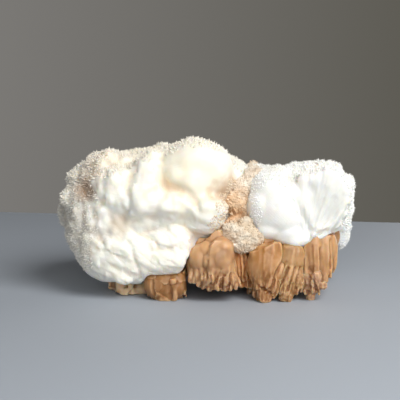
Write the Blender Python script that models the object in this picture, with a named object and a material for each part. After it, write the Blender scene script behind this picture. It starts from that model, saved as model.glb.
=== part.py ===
"""Scolecite on stilbite: white rounded sprays of scolecite grown over honey-coloured sheaves of stilbite.

Metres, +Z up, the front towards -Y. The origin lies on the table, under the middle of the specimen.
Lengths below are in millimetres and become metres where a mesh is made.
"""

import math
import random

import bmesh
import bpy
from mathutils import Matrix, Vector, noise

MM = 0.001

# Driving dimensions
GAP = 0.3                 # clearance between neighbouring crystal groups
CLEAR = 1.3 * GAP         # how far a neighbour is swollen before it cuts, as its facets lie a little low
TABLE = -GAP / 2          # outlines are drawn in by half a gap, which brings a foot to the table
ROW_DEPTH = 13.0          # blades stand behind each other in rows about this deep
VOXEL = 1.1               # grid that melts the lobes of one spray into one body
SOFTENINGS = 6            # smoothing passes that round the grooves between lobes
LOBE_SWELL = 0.05         # how far a lobe's radius wanders, as a fraction
LOBE_WAVE = 9.0           # size of the swells on a lobe
REACH = 90.0              # half length of a cutter, longer than the specimen is deep
BACK_DROP = 0.083         # the contact sinks by this share of the way from front to back
CONTACT_Y = -34.0         # where the contact has the heights below

# Where the scolecite ends and the stilbite begins, seen from the front: x, z from left to right
CONTACT = [
    (-90, 2), (-54, 4.5), (-42, 5), (-34, 5.5), (-31, 8), (-28, 12.4), (-21, 12.6), (-13.7, 11.8),
    (-9.8, 15.9), (-8.4, 20.8), (-3.1, 27), (1, 27), (4, 31), (8.5, 31), (12.7, 25), (19.4, 24.8),
    (26.6, 26.6), (32.8, 30), (35.6, 29.5), (38.1, 27.4), (41.4, 28.1), (46.7, 26.6), (48.7, 31.5),
    (54.3, 31.6), (59, 32.8), (62, 32.5), (70, 36.5), (76, 41), (90, 44),
]

# Rounded sprays: centre x, y, z, half sizes x, y, z, and how square the shape is, 2 being an ellipsoid
LEFT_MASS = [
    (-35, 1, 38, 36, 34, 32.5, 2.8),       # main body
    (-6, 3, 45, 26, 33, 28, 2.5),          # body under the dome
    (-7, -13, 58, 16, 24, 16, 2.1),        # cream dome, top right
    (11, -3, 56, 12, 22, 13, 2.3),         # its slope down to the cleft
    (-5.5, -2, 71, 4, 6, 6, 2),            # peak
    (-1, -29, 42, 10, 11, 9, 2.2),         # ledge, right
    (-17, -30, 46, 10, 10, 8.5, 2.2),      # ledge, middle
    (-31, -27, 48, 12, 13, 11, 2.2),       # ledge, left
    (-27, -20, 61, 11, 13, 11, 2.2),
    (-45, -22, 55, 11, 13, 11, 2.2),
    (-52, -12, 63, 9, 14, 8.5, 2.2),
    (-62, -12, 47, 9, 14, 12, 2.2),        # left flank, upper
    (-61, -9, 30, 9, 16, 11, 2.3),         # left flank, lower
    (-69, 4, 40, 6.5, 11, 11, 2),          # grey lobe at the far left
    (-67, -8, 26, 4, 6, 4, 2),             # pink nub
    (-38, -12, 21.5, 26, 25, 16.5, 2.5),   # broken lower body
    (-18, -14, 25, 15, 23, 15, 3),
    (-44, 8, 62, 13, 14, 10, 2.2),         # top
    (-24, 10, 63, 12, 13, 11, 2.2),
    (-4, 14, 62, 13, 13, 11, 2.2),
    (-51, 21, 40, 16, 17, 17, 2.2),        # back
    (-28, 27, 47, 17, 14, 17, 2.2),
    (-2, 24, 44, 16, 16, 16, 2.2),
    (-38, 24, 22, 22, 16, 14, 2.4),
]
RIGHT_FAN = [
    (36, -6, 43.5, 16.5, 29, 19.5, 2.6),   # white mound
    (54.5, -3, 45.5, 18.8, 31, 18.8, 3.1), # fan proper
    (48, -2, 34, 19, 30, 10, 2.8),
    (40, 16, 45, 19, 17, 15, 2.3),         # back
    (60, 17, 43, 14, 15, 15, 2.3),
]
REAR_FLAP = [
    (66, 10, 29, 9.5, 18, 10.5, 2.4),
    (60, 20, 27, 9, 11, 8, 2.2),
]
CLEFT_DRUSE = [
    (15, -2, 46, 13, 25, 20, 2.4),
    (16, -21, 32.5, 13, 13, 8.5, 2.2),     # cream lobe
    (24, -16, 56, 8, 10, 8, 2.2),
    (18, 14, 45, 10, 15, 16, 2.2),
]

# Broken faces, where silky fibres show: a point on the face and the way it looks
LEFT_BREAK = ((-38, -35.5, 20), (-0.1, -0.98, -0.12))
FAN_BREAK = ((56, -32.5, 46), (0.14, -0.99, 0.03))

# Stilbite groups: sides and underside of each as an outline in x, z, which runs on up into the
# scolecite; its front and back; and its blades, each as root x, z, tip x, z, width, and how far it
# stands behind the group's outer face.
SLIVER = [(-51, 20), (-51, 4), (-46, 1.5), (-41, TABLE), (-33, TABLE), (-31, 1.5), (-31, 20)]
LEFT_FOOT = [
    (-28.2, 20), (-30.2, 7.5), (-27.3, 3.6), (-24.2, TABLE), (-14.8, TABLE), (-11.4, 4.5), (-9.8, 9.5),
    (-9.8, 20),
]
CENTRE = [(-9.4, 40), (-9, 13), (-5, 8), (0.3, 5), (16.3, 5), (15, 14), (13.3, 21), (13.2, 40)]
MIDDLE = [(13.2, 40), (13.3, 21), (15, 14), (16.3, 5), (23.6, 5), (24.5, 9), (19.6, 24.8), (19.5, 40)]
FOOT_SHEAF = [
    (19.5, 40), (19.6, 24.8), (24.5, 9), (23.6, 5), (25.2, TABLE), (33.6, TABLE), (34, 6.5), (36, 16.5),
    (37.2, 24), (36, 40),
]
KHAKI = [
    (36, 40), (37.2, 24), (36, 16.5), (34, 6.5), (33.6, TABLE), (47.4, TABLE), (47.2, 11.5), (46.9, 40),
]
COLUMNS = [
    (46.9, 40), (47.2, 11.5), (51, 11.9), (54.6, 9.6), (58.8, 11), (61.2, 15), (63, 19), (63, 40),
]
CLUSTER = [(47.2, 11.5), (47.4, 3), (58.4, 3), (58.4, 11), (54.6, 9.6), (51, 11.9)]
BACK_CENTRE = [(-30, 20), (-28, 3), (18, 3), (20, 40)]
BACK_RIGHT = [(20, 40), (18, 3), (20, TABLE), (50, TABLE), (57, 12), (59, 40)]

SHEAVES = {
    "stilbite_left_sliver": (SLIVER, -20, 16, [
        (-48, 9, -45, 0, 9, 5), (-41, 9, -38.5, -3, 11, 0), (-34, 9, -33, -3, 7, 6),
    ]),
    "stilbite_left_foot": (LEFT_FOOT, -32, -9, [
        (-25, 16, -24, -2, 11, 1.5), (-18, 16, -19, -4, 12, 0), (-12.5, 16, -14, -1, 7, 3),
    ]),
    "stilbite_centre_sheaf": (CENTRE, -39, -0.2, [
        (-5, 30, -6.5, 9, 7, 8), (-1, 31, -2.5, 6.5, 8, 3), (5, 36, 3.3, 6.4, 9, 0),
        (9, 36, 9, 5.6, 8.5, 0.5), (12, 30, 14.5, 7.5, 6.5, 3), (1, 31, 0.5, 7.5, 7, 5),
    ]),
    "stilbite_middle_blades": (MIDDLE, -29, -0.2, [
        (14, 30, 16.5, 8, 5, 1), (17, 30, 19.4, 6.6, 5.5, 0), (20.5, 30, 23, 6, 5.5, 2),
    ]),
    "stilbite_foot_sheaf": (FOOT_SHEAF, -37, -0.2, [
        (23, 30, 26.5, 5, 7, 1), (29, 32, 28, -6, 7.5, 1.5), (30, 33, 31.8, 3.2, 9, 0),
        (35, 33, 34.2, 5, 6, 2.5),
    ]),
    "stilbite_khaki_sheaf": (KHAKI, -35, -0.2, [
        (38, 32, 35.2, 4, 5.5, 2), (40.5, 32, 38.3, -4, 7, 0), (43.5, 32, 42.4, 3, 6, 1),
        (46, 32, 46.2, 5.5, 5, 3),
    ]),
    "stilbite_right_columns": (COLUMNS, -33, -0.2, [
        (49.5, 36, 49, 9, 6, 1), (54, 36, 53.4, 8, 6, 0), (58, 36, 57, 9, 6, 1), (61.5, 36, 60.5, 12, 5.5, 4),
    ]),
    "stilbite_small_cluster": (CLUSTER, -34, -6, [
        (49, 15, 48.6, 5, 4.5, 3), (52, 15, 51.4, 3.6, 5, 1), (55.5, 15, 55, 5.2, 5, 0),
    ]),
    "stilbite_back_centre": (BACK_CENTRE, 33, 0.2, [
        (-24, 16, -25, 3.6, 12, 2), (-15, 20, -16, 4.5, 12, 0), (-6, 30, -7, 3.8, 12, 1),
        (3, 33, 2.5, 5, 12, 0), (12, 31, 12.5, 4, 12, 2),
    ]),
    "stilbite_back_right": (BACK_RIGHT, 31, 0.2, [
        (22, 30, 22, 4, 10, 2), (29, 32, 29, 3, 11, 0), (37, 33, 37, -3, 12, 1), (45, 33, 45, -1, 11, 0),
        (53, 36, 52, 8, 11, 2),
    ]),
}

COLOURS = {
    "scolecite": ((0.86, 0.83, 0.76), 0.45),
    "druse": ((0.78, 0.58, 0.40), 0.35),
    "stilbite": ((0.55, 0.30, 0.14), 0.4),
}


def clear_scene():
    for thing in list(bpy.data.objects):
        bpy.data.objects.remove(thing, do_unlink=True)


def material(kind):
    """One material a piece: base colour and roughness of its mineral."""
    colour, roughness = COLOURS[kind]
    skin = bpy.data.materials.new(kind)
    skin.use_nodes = True
    shader = skin.node_tree.nodes["Principled BSDF"]
    shader.inputs["Base Color"].default_value = (*colour, 1)
    shader.inputs["Roughness"].default_value = roughness
    shader.inputs["Metallic"].default_value = 0.0
    return skin


def object_from(name, bm, kind=None):
    """Turns a bmesh in millimetres into an object in metres."""
    bmesh.ops.scale(bm, vec=(MM, MM, MM), verts=bm.verts)
    bmesh.ops.recalc_face_normals(bm, faces=bm.faces)
    mesh = bpy.data.meshes.new(name)
    bm.to_mesh(mesh)
    bm.free()
    thing = bpy.data.objects.new(name, mesh)
    bpy.context.scene.collection.objects.link(thing)
    if kind:
        mesh.materials.append(material(kind))
    return thing


def as_cutter(thing):
    thing.hide_render = True
    thing.display_type = "WIRE"
    return thing


def bake(piece):
    """Replaces the piece's mesh by what its modifiers make of it."""
    graph = bpy.context.evaluated_depsgraph_get()
    made = bpy.data.meshes.new_from_object(piece.evaluated_get(graph))
    made.name = piece.name
    piece.modifiers.clear()
    piece.data = made


def add_boolean(piece, cutter, operation):
    cut = piece.modifiers.new(cutter.name, "BOOLEAN")
    cut.operation = operation
    cut.solver = "EXACT"
    cut.use_self = True
    cut.object = cutter


def drop_chips(piece):
    """Keeps the largest connected body, without the loose chips that a cut leaves."""
    bm = bmesh.new()
    bm.from_mesh(piece.data)
    bmesh.ops.triangulate(bm, faces=bm.faces)
    unseen = set(bm.verts)
    bodies = []
    while unseen:
        grown = {unseen.pop()}
        front = list(grown)
        while front:
            for edge in front.pop().link_edges:
                for vertex in edge.verts:
                    if vertex in unseen:
                        unseen.discard(vertex)
                        grown.add(vertex)
                        front.append(vertex)
        bodies.append(grown)
    bodies.sort(key=len, reverse=True)
    for chip in bodies[1:]:
        bmesh.ops.delete(bm, geom=list(chip), context="VERTS")
    bm.to_mesh(piece.data)
    bm.free()


def lobe(bm, row, seed):
    """One rounded spray: a superellipsoid whose surface swells a little."""
    centre, half, square = Vector(row[:3]), row[3:6], row[6]
    made = bmesh.ops.create_icosphere(bm, subdivisions=4, radius=1)
    offset = Vector((seed * 7.3, seed * 3.1, seed * 5.7))
    for vertex in made["verts"]:
        way = vertex.co
        reach = sum(abs(part) ** square for part in way) ** (-1 / square)
        place = Vector(a * b for a, b in zip(way, half)) * reach
        swell = 1 + LOBE_SWELL * noise.noise((place + offset) / LOBE_WAVE)
        vertex.co = centre + place * swell


def break_face(piece, face):
    """Takes off what stands in front of a broken face, and closes the mesh there."""
    point, normal = face
    bm = bmesh.new()
    bm.from_mesh(piece.data)
    cut = bmesh.ops.bisect_plane(
        bm, geom=bm.verts[:] + bm.edges[:] + bm.faces[:],
        plane_co=Vector(point) * MM, plane_no=Vector(normal), clear_outer=True,
    )
    rim = [part for part in cut["geom_cut"] if isinstance(part, bmesh.types.BMEdge)]
    bmesh.ops.holes_fill(bm, edges=rim)
    bm.to_mesh(piece.data)
    bm.free()


def spray_mass(name, lobes, triangles, kind, broken=None):
    """Lobes melted into one body and thinned to the wanted number of triangles."""
    bm = bmesh.new()
    for seed, row in enumerate(lobes, 1):
        lobe(bm, row, seed)
    piece = object_from(name, bm, kind)
    for stage in range(2 if broken else 1):
        if stage:
            break_face(piece, broken)
        melt = piece.modifiers.new("melt", "REMESH")
        melt.mode = "VOXEL"
        melt.voxel_size = VOXEL * MM
        bake(piece)
    soften = piece.modifiers.new("soften", "SMOOTH")
    soften.factor = 0.5
    soften.iterations = SOFTENINGS
    bake(piece)
    thin = piece.modifiers.new("thin", "DECIMATE")
    thin.ratio = triangles / (2 * len(piece.data.polygons))
    thin.use_collapse_triangulate = True
    bake(piece)
    return piece


def fall(y):
    """How far the contact lies below its height at the front, y millimetres behind the middle."""
    return BACK_DROP * (y - CONTACT_Y)


def prism(name, outline, front, back, sinks=False):
    """A closed block with an outline in x and z, from front to back; it may sink as the contact does."""
    bm = bmesh.new()
    rows = []
    for y in (front, back):
        lower = fall(y) if sinks else 0.0
        rows.append([bm.verts.new((x, y, z - lower)) for x, z in outline])
    bm.faces.new(rows[0])
    bm.faces.new(list(reversed(rows[1])))
    count = len(outline)
    for i in range(count):
        j = (i + 1) % count
        bm.faces.new((rows[0][j], rows[0][i], rows[1][i], rows[1][j]))
    return object_from(name, bm)


def offset_outline(outline, inward):
    """Moves each side of a closed outline inward by the same distance."""
    following = outline[1:] + outline[:1]
    area = sum(a[0] * b[1] - b[0] * a[1] for a, b in zip(outline, following))
    turn = math.copysign(1, area)
    moved = []
    for before, here, after in zip(outline[-1:] + outline[:-1], outline, following):
        into = Vector((here[0] - before[0], here[1] - before[1])).normalized()
        out = Vector((after[0] - here[0], after[1] - here[1])).normalized()
        normal_in = Vector((-into.y, into.x)) * turn
        normal_out = Vector((-out.y, out.x)) * turn
        bisector = (normal_in + normal_out).normalized()
        reach = inward / max(bisector.dot(normal_in), 0.4)
        moved.append((here[0] + bisector.x * reach, here[1] + bisector.y * reach))
    return moved


def contact_cutter(name, side):
    """Everything under the contact (side -1) or above it (side 1), with half a gap to the other mineral."""
    line = [(x, z - side * GAP / 2) for x, z in CONTACT]
    outline = line + [(REACH, side * REACH), (-REACH, side * REACH)]
    return as_cutter(prism(name, outline, -REACH, REACH, sinks=True))


def swollen_copy(piece):
    """A cutter that stands proud of the piece by the clearance all over."""
    cutter = bpy.data.objects.new(piece.name + "_swollen", piece.data.copy())
    bpy.context.scene.collection.objects.link(cutter)
    swell = cutter.modifiers.new("swell", "DISPLACE")
    swell.mid_level = 0.0
    swell.strength = CLEAR * MM
    bake(cutter)
    return as_cutter(cutter)


def keep_clear(piece, *others):
    """Cuts the piece back from its neighbours, so that a gap stays."""
    for other in others:
        add_boolean(piece, swollen_copy(other), "DIFFERENCE")
        bake(piece)
    drop_chips(piece)


def blade(bm, root, tip, width, near, far):
    """A tabular crystal: a plate with bevelled outer edges, narrower at its root, with a chisel tip."""
    towards = math.copysign(1, far - near)
    run = tip - root
    across = Vector((-run.z, 0, run.x)).normalized()
    # Along the blade: share of its length, of its width, and how far the outer face falls back
    stations = [(0.0, 0.85, 2.5), (0.4, 1.0, 0.4), (0.82, 0.92, 0.4), (1.0, 0.4, 3.0)]
    rings = []
    for share, wide, back in stations:
        middle = root + run * share
        half = width / 2 * wide
        bevel = half * 0.45
        corners = [
            (-half, near + towards * (back + bevel)), (-half + bevel, near + towards * back),
            (half - bevel, near + towards * back), (half, near + towards * (back + bevel)),
            (half, far), (-half, far),
        ]
        rings.append([
            bm.verts.new(middle + across * side + Vector((0, y, 0))) for side, y in corners
        ])
    bm.faces.new(rings[0])
    bm.faces.new(list(reversed(rings[-1])))
    for upper, lower in zip(rings, rings[1:]):
        for i in range(len(upper)):
            j = (i + 1) % len(upper)
            bm.faces.new((upper[j], upper[i], lower[i], lower[j]))


def grow_rows(bm, row, outer, inner, rng):
    """The outermost blade as given, and shorter ones behind it that wander a little."""
    root_x, root_z, tip_x, tip_z, width, behind = row
    towards = math.copysign(1, inner - outer)
    near = outer + towards * behind
    rows = max(1, round(abs(inner - near) / ROW_DEPTH))
    pitch = (inner - near) / rows
    for k in range(rows):
        wander = rng.uniform(-1.2, 1.2) if k else 0.0
        lift = rng.uniform(0.5, 4.0) if k else 0.0
        root = Vector((root_x, 0, root_z))
        tip = Vector((tip_x + wander, 0, tip_z + lift))
        far = inner if k == rows - 1 else near + pitch * (k + 1.3)
        blade(bm, root, tip, width * rng.uniform(0.95, 1.1), near + pitch * k, far)


def sheaf(name, outline, outer, inner, blades, roof):
    """Blades grown side by side into one body, which ends at the outline of its group."""
    rng = random.Random(name)
    bm = bmesh.new()
    for row in blades:
        grow_rows(bm, row, outer, inner, rng)
    piece = object_from(name, bm, "stilbite")
    front, back = sorted((outer * 1.2, inner))
    group = as_cutter(prism(name + "_group", offset_outline(outline, GAP / 2), front, back))
    add_boolean(piece, group, "INTERSECT")
    add_boolean(piece, roof, "DIFFERENCE")
    bake(piece)
    drop_chips(piece)
    return piece


def stand_on_origin(pieces):
    """Moves the specimen so that the origin is under the middle of its bounding box, on the table."""
    corners = [vertex.co for piece in pieces for vertex in piece.data.vertices]
    low = Vector(min(corner[i] for corner in corners) for i in range(3))
    high = Vector(max(corner[i] for corner in corners) for i in range(3))
    shift = Matrix.Translation((-(low.x + high.x) / 2, -(low.y + high.y) / 2, -low.z))
    for piece in pieces:
        piece.data.transform(shift)


def build():
    clear_scene()
    below = contact_cutter("below_contact", -1)
    above = contact_cutter("above_contact", 1)
    left = spray_mass("scolecite_left_mass", LEFT_MASS, 2400, "scolecite", LEFT_BREAK)
    fan = spray_mass("scolecite_right_fan", RIGHT_FAN, 1200, "scolecite", FAN_BREAK)
    cleft = spray_mass("cleft_druse", CLEFT_DRUSE, 600, "druse")
    flap = spray_mass("scolecite_rear_flap", REAR_FLAP, 300, "scolecite")
    for piece in (left, fan, cleft):
        add_boolean(piece, below, "DIFFERENCE")
        bake(piece)
        drop_chips(piece)
    keep_clear(fan, left)
    keep_clear(cleft, left, fan)
    sheaves = {
        name: sheaf(name, outline, outer, inner, blades, above)
        for name, (outline, outer, inner, blades) in SHEAVES.items()
    }
    keep_clear(flap, fan, sheaves["stilbite_back_right"], sheaves["stilbite_right_columns"])
    stand_on_origin([left, fan, cleft, flap, *sheaves.values()])


build()
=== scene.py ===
# %% [markdown]
# # Scolecite on stilbite
# The specimen is a group of white rounded sprays of scolecite that grew over honey-brown sheaves of
# stilbite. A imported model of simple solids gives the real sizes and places. This lesson grows the visible
# surface around it: first the camera and the light, then the white masses, their sugar of small crystals,
# the honey crust in the cleft, the stilbite blades, and last the finishes.
# Everything is in metres. The helper `MM` turns the lengths written here in millimetres into metres.

# %% Load the frame
import math
import random

import bmesh
import bpy
from mathutils import Matrix, Vector, kdtree


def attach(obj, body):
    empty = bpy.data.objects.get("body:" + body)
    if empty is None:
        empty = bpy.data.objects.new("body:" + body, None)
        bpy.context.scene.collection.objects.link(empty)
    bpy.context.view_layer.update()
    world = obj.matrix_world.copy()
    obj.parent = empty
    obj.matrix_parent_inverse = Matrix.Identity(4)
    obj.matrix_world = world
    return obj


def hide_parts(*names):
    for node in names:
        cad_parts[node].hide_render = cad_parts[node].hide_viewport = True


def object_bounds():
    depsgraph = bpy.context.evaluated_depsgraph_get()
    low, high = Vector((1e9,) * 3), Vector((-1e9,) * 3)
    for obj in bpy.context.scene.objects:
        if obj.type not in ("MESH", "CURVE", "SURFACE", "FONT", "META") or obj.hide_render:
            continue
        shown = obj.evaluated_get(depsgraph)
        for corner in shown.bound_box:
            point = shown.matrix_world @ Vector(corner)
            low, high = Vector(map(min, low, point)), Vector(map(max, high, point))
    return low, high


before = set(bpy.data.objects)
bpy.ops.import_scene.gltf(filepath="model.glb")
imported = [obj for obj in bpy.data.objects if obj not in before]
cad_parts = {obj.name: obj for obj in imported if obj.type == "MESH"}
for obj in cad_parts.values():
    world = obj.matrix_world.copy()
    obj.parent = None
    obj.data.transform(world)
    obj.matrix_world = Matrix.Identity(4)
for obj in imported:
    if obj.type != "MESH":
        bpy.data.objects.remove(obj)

MM = 0.001


def new_object(name, data):
    """An object of the scene that holds this data."""
    thing = bpy.data.objects.new(name, data)
    bpy.context.scene.collection.objects.link(thing)
    return thing


solid_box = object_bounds()
box_sides = [round(side / MM, 1) for side in solid_box[1] - solid_box[0]]
print("frame:", len(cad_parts), "nodes, box", box_sides)

# %% [markdown]
# ## Camera
# The photograph looks along the specimen's depth from a little above, with a long lens that keeps the
# proportions. The camera's place follows from the aim, the distance and the angle, so each can be changed
# alone.

# %% Camera
AIM = Vector((-3.1, 0, 45.6)) * MM
DISTANCE = 483.56 * MM
LOOK_DOWN = math.radians(7)
LENS = 85.0
SENSOR = 36.0
FRAME_PIXELS = 400
camera_data = bpy.data.cameras.new("camera")
camera_data.lens = LENS
camera_data.sensor_width = SENSOR
camera = new_object("camera", camera_data)
camera.location = AIM + DISTANCE * Vector((0, -math.cos(LOOK_DOWN), math.sin(LOOK_DOWN)))
camera.rotation_euler = (math.pi / 2 - LOOK_DOWN, 0, 0)
bpy.context.scene.camera = camera
print("camera at", [round(part / MM, 1) for part in camera.location])

# %% [markdown]
# ## Nodes
# Finishes, the wall and the Geometry Nodes modifiers are all built of nodes. Three helpers take up what
# repeats: one gives a node its input values, one makes a node and does the same, and one starts a finish.

# %% Nodes
def feed(tree, node, values):
    """Gives a node's inputs their values; a value that is another node's output is linked."""
    for name, value in values.items():
        if isinstance(value, bpy.types.NodeSocket):
            tree.links.new(value, node.inputs[name])
        else:
            node.inputs[name].default_value = value
    return node


def make_node(tree, kind, values=None, **settings):
    """A new node with these settings and input values."""
    node = tree.nodes.new(kind)
    for name, setting in settings.items():
        setattr(node, name, setting)
    return feed(tree, node, values or {})


def new_skin(name):
    """A material, its node tree and its shader."""
    skin = bpy.data.materials.new(name)
    skin.use_nodes = True
    return skin, skin.node_tree, skin.node_tree.nodes["Principled BSDF"]


print("node helpers:", feed.__name__, make_node.__name__, new_skin.__name__)

# %% [markdown]
# ## Table, wall and light
# The specimen stands on a pale blue-grey table in front of a plain grey wall. The table is one quad whose
# far edge runs a little askew, as in the photograph. The wall is the world's own colour, so that no
# backdrop stands in the way when the specimen is seen from behind. A key light from the upper right and a
# fill beside the camera do most of the lighting. Two weak lamps stand low behind, so that the back, which
# the photograph doesn't show, isn't left dark.

# %% Table, wall and light
TABLE_CORNERS = [(-0.9, -1.0, 0), (0.9, -1.0, 0), (0.9, 0.083, 0), (-0.9, 0.433, 0)]
TABLE_TONE = (0.40, 0.44, 0.50, 1)
# The wall is painted lighter on the left and darker on the right, as light falls off across it
WALL_LIT_LEFT, WALL_SHADED_RIGHT = (0.205, 0.198, 0.187, 1), (0.105, 0.099, 0.082, 1)
# The wall lights the specimen less than it shows, because the room's far side is dark
WALL_LIGHT = 0.22
LAMP_AIM = Vector((0, 0, 0.035))
# Name, place, size, power, colour, and whether the camera can see it: the rear ones are weak and low
LAMPS = [
    ("key light", (0.34, -0.50, 0.54), 0.5, 6.1, (1.0, 0.985, 0.955), True),
    ("front fill", (0.06, -0.90, 0.30), 0.6, 3.2, (1.0, 0.99, 0.96), True),
    ("back fill", (-0.50, 0.50, 0.14), 0.5, 0.5, (1.0, 0.99, 0.97), False),
    ("rear light", (0.42, 0.60, 0.12), 0.4, 1.1, (1.0, 0.99, 0.97), False),
]
table_mesh = bpy.data.meshes.new("table")
table_mesh.from_pydata(TABLE_CORNERS, [], [(0, 1, 2, 3)])
table = new_object("table", table_mesh)
table_skin, tree, shader = new_skin("pale table")
feed(tree, shader, {"Base Color": TABLE_TONE, "Roughness": 0.75})
table_mesh.materials.append(table_skin)

for name, place, size, power, colour, seen in LAMPS:
    lamp = bpy.data.lights.new(name, "AREA")
    lamp.shape = "DISK"
    lamp.size = size
    lamp.energy = power
    lamp.color = colour
    holder = new_object(name, lamp)
    holder.location = place
    holder.rotation_euler = (LAMP_AIM - holder.location).to_track_quat("-Z", "Y").to_euler()
    holder.visible_camera = seen

world = bpy.data.worlds.new("grey wall")
bpy.context.scene.world = world
world.use_nodes = True
wall = world.node_tree
way = make_node(wall, "ShaderNodeTexCoord").outputs["Generated"]
across = make_node(wall, "ShaderNodeSeparateXYZ", {"Vector": way}).outputs["X"]
shift = make_node(wall, "ShaderNodeMapRange", {"Value": across, "From Min": -0.25, "From Max": 0.25})
tones = make_node(wall, "ShaderNodeValToRGB", {"Fac": shift.outputs["Result"]})
tones.color_ramp.elements[0].color = WALL_LIT_LEFT
tones.color_ramp.elements[1].color = WALL_SHADED_RIGHT
seen = make_node(wall, "ShaderNodeLightPath").outputs["Is Camera Ray"]
power = make_node(wall, "ShaderNodeMapRange", {"Value": seen, "To Min": WALL_LIGHT, "To Max": 1.0})
background = wall.nodes["Background"]
feed(wall, background, {"Color": tones.outputs["Color"], "Strength": power.outputs["Result"]})
bpy.context.scene.view_settings.view_transform = "Standard"
print("lamps:", [lamp.name for lamp in bpy.data.lights])

# %% [markdown]
# ## Hand tools
# The rest uses the same few moves again and again: select one object, finish it with a modifier, join
# several. Each is a short function around the operator that a hand would use. The core of each visible
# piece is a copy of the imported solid, so sizes and places are right from the start.

# %% Hand tools
def only(thing):
    """Leaves this object as the one that is selected and active."""
    if bpy.context.mode != "OBJECT":
        bpy.ops.object.mode_set(mode="OBJECT")
    bpy.ops.object.select_all(action="DESELECT")
    thing.select_set(True)
    bpy.context.view_layer.objects.active = thing


def apply(thing, kind, **settings):
    """Adds a modifier with these settings and applies it."""
    only(thing)
    step = thing.modifiers.new(kind.lower(), kind)
    for key, value in settings.items():
        setattr(step, key, value)
    bpy.ops.object.modifier_apply(modifier=step.name)


def soften(thing, passes, group=""):
    """Draws each point halfway to its neighbours, as many times as passes says."""
    apply(thing, "SMOOTH", factor=0.5, iterations=passes, vertex_group=group)


def join(name, things):
    """Joins objects into the first one."""
    only(things[0])
    for thing in things:
        thing.select_set(True)
    bpy.ops.object.join()
    things[0].name = name
    things[0].data.name = name
    return things[0]


def core_of(node, name, inward):
    """A merged copy of a solid's mesh, drawn in a little so that the lumps set on it stand out."""
    piece = new_object(name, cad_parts[node].data.copy())
    piece.data.materials.clear()
    only(piece)
    bpy.ops.object.mode_set(mode="EDIT")
    bpy.ops.mesh.select_all(action="SELECT")
    bpy.ops.mesh.remove_doubles(threshold=0.002 * MM)
    bpy.ops.transform.shrink_fatten(value=-inward * MM)
    bpy.ops.object.mode_set(mode="OBJECT")
    bpy.ops.mesh.customdata_custom_splitnormals_clear()
    return piece


print("frame nodes:", ", ".join(sorted(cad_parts)))

# %% [markdown]
# Rounded crystal groups start as balls. A voxel Remesh melts everything that overlaps into one closed
# skin, and soft valleys are left where the balls meet.

# %% Balls and melting
def ball(place, sizes, turn=(0, 0, 0), detail=4):
    """A ball pressed to half sizes x, y, z in millimetres, turned by degrees."""
    bpy.ops.object.select_all(action="DESELECT")
    bpy.ops.mesh.primitive_ico_sphere_add(
        subdivisions=detail, radius=1, location=place, rotation=[math.radians(a) for a in turn],
        scale=[size * MM for size in sizes],
    )
    return bpy.context.object


def melt(piece, voxel, passes):
    """Melts all that is joined in the piece into one closed skin and softens it a little."""
    apply(piece, "REMESH", mode="VOXEL", voxel_size=voxel * MM)
    soften(piece, passes)


print("helpers:", ball.__name__, "and", melt.__name__)

# %% [markdown]
# The photograph is 400 pixels wide and high. A ray from the camera through one of its pixels meets the
# piece at the point that this pixel shows. Knobs are set there, and grooves follow lines of such points.

# %% Under the photograph
PIXEL = SENSOR / LENS / FRAME_PIXELS
# A line is followed in steps of so many pixels, and takes along the points within so many millimetres
LINE_STEP = 1.2
LINE_REACH = 0.45


def way_through(px, py):
    """From the camera through a pixel of the photograph, along the camera's own axes."""
    return Vector(((px - FRAME_PIXELS / 2) * PIXEL, (FRAME_PIXELS / 2 - py) * PIXEL, -1))


def seen_at(piece, px, py):
    """Point and normal of the piece under a pixel of the photograph."""
    way = camera.rotation_euler.to_matrix() @ way_through(px, py).normalized()
    hit, place, normal, _ = piece.ray_cast(camera.location, way)
    return (place, normal) if hit else (None, None)


def lumps_on(piece, rows):
    """Balls set on the piece at pixels of the photograph: px, py, half sizes x, y, z, depth of the centre."""
    made = []
    for px, py, rx, ry, rz, sunk in rows:
        place, normal = seen_at(piece, px, py)
        if place is None:
            print("no surface under", px, py)
            continue
        made.append(ball(place + Vector((0, sunk * MM, 0)), (rx, ry, rz)))
    return made


def press(piece, line, depth, width):
    """Presses a groove (or lifts a ridge, with a negative depth) along a line of photograph pixels."""
    places = []
    for start, end in zip(line, line[1:]):
        steps = max(2, round(math.dist(start, end) / LINE_STEP))
        for k in range(steps + 1):
            share = k / steps
            px = start[0] + (end[0] - start[0]) * share
            py = start[1] + (end[1] - start[1]) * share
            place, _ = seen_at(piece, px, py)
            if place:
                places.append(place)
    tree = kdtree.KDTree(len(piece.data.vertices))
    for vertex in piece.data.vertices:
        tree.insert(vertex.co, vertex.index)
    tree.balance()
    only(piece)
    bpy.ops.object.mode_set(mode="EDIT")
    bpy.ops.mesh.select_mode(type="VERT")
    bpy.ops.mesh.select_all(action="DESELECT")
    bm = bmesh.from_edit_mesh(piece.data)
    bm.verts.ensure_lookup_table()
    for place in places:
        for _, index, _ in tree.find_range(place, LINE_REACH * MM):
            bm.verts[index].select = True
    bmesh.update_edit_mesh(piece.data)
    bpy.ops.transform.shrink_fatten(
        value=-depth * MM, use_proportional_edit=True, proportional_edit_falloff="SMOOTH",
        proportional_size=width * MM,
    )
    bpy.ops.object.mode_set(mode="OBJECT")


def press_all(piece, rows):
    """Presses a list of grooves: the depth, the width and the line of each."""
    for depth, width, line in rows:
        press(piece, line, depth, width)


print("one pixel is", round(PIXEL * DISTANCE / MM, 3), "mm wide at the middle")

# %% [markdown]
# A vertex group limits a modifier to a part of the skin. Its weights come from a short rule on the place
# and the normal of each point, which is easier to change than weights painted by hand.

# %% Weights
def weigh(piece, name, rule):
    """A vertex group whose weight at each point comes from a rule on its place and normal."""
    group = piece.vertex_groups.new(name=name)
    for vertex in piece.data.vertices:
        weight = rule(vertex.co / MM, vertex.normal)
        if weight > 0.01:
            group.add([vertex.index], min(weight, 1.0), "REPLACE")
    return name


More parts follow.
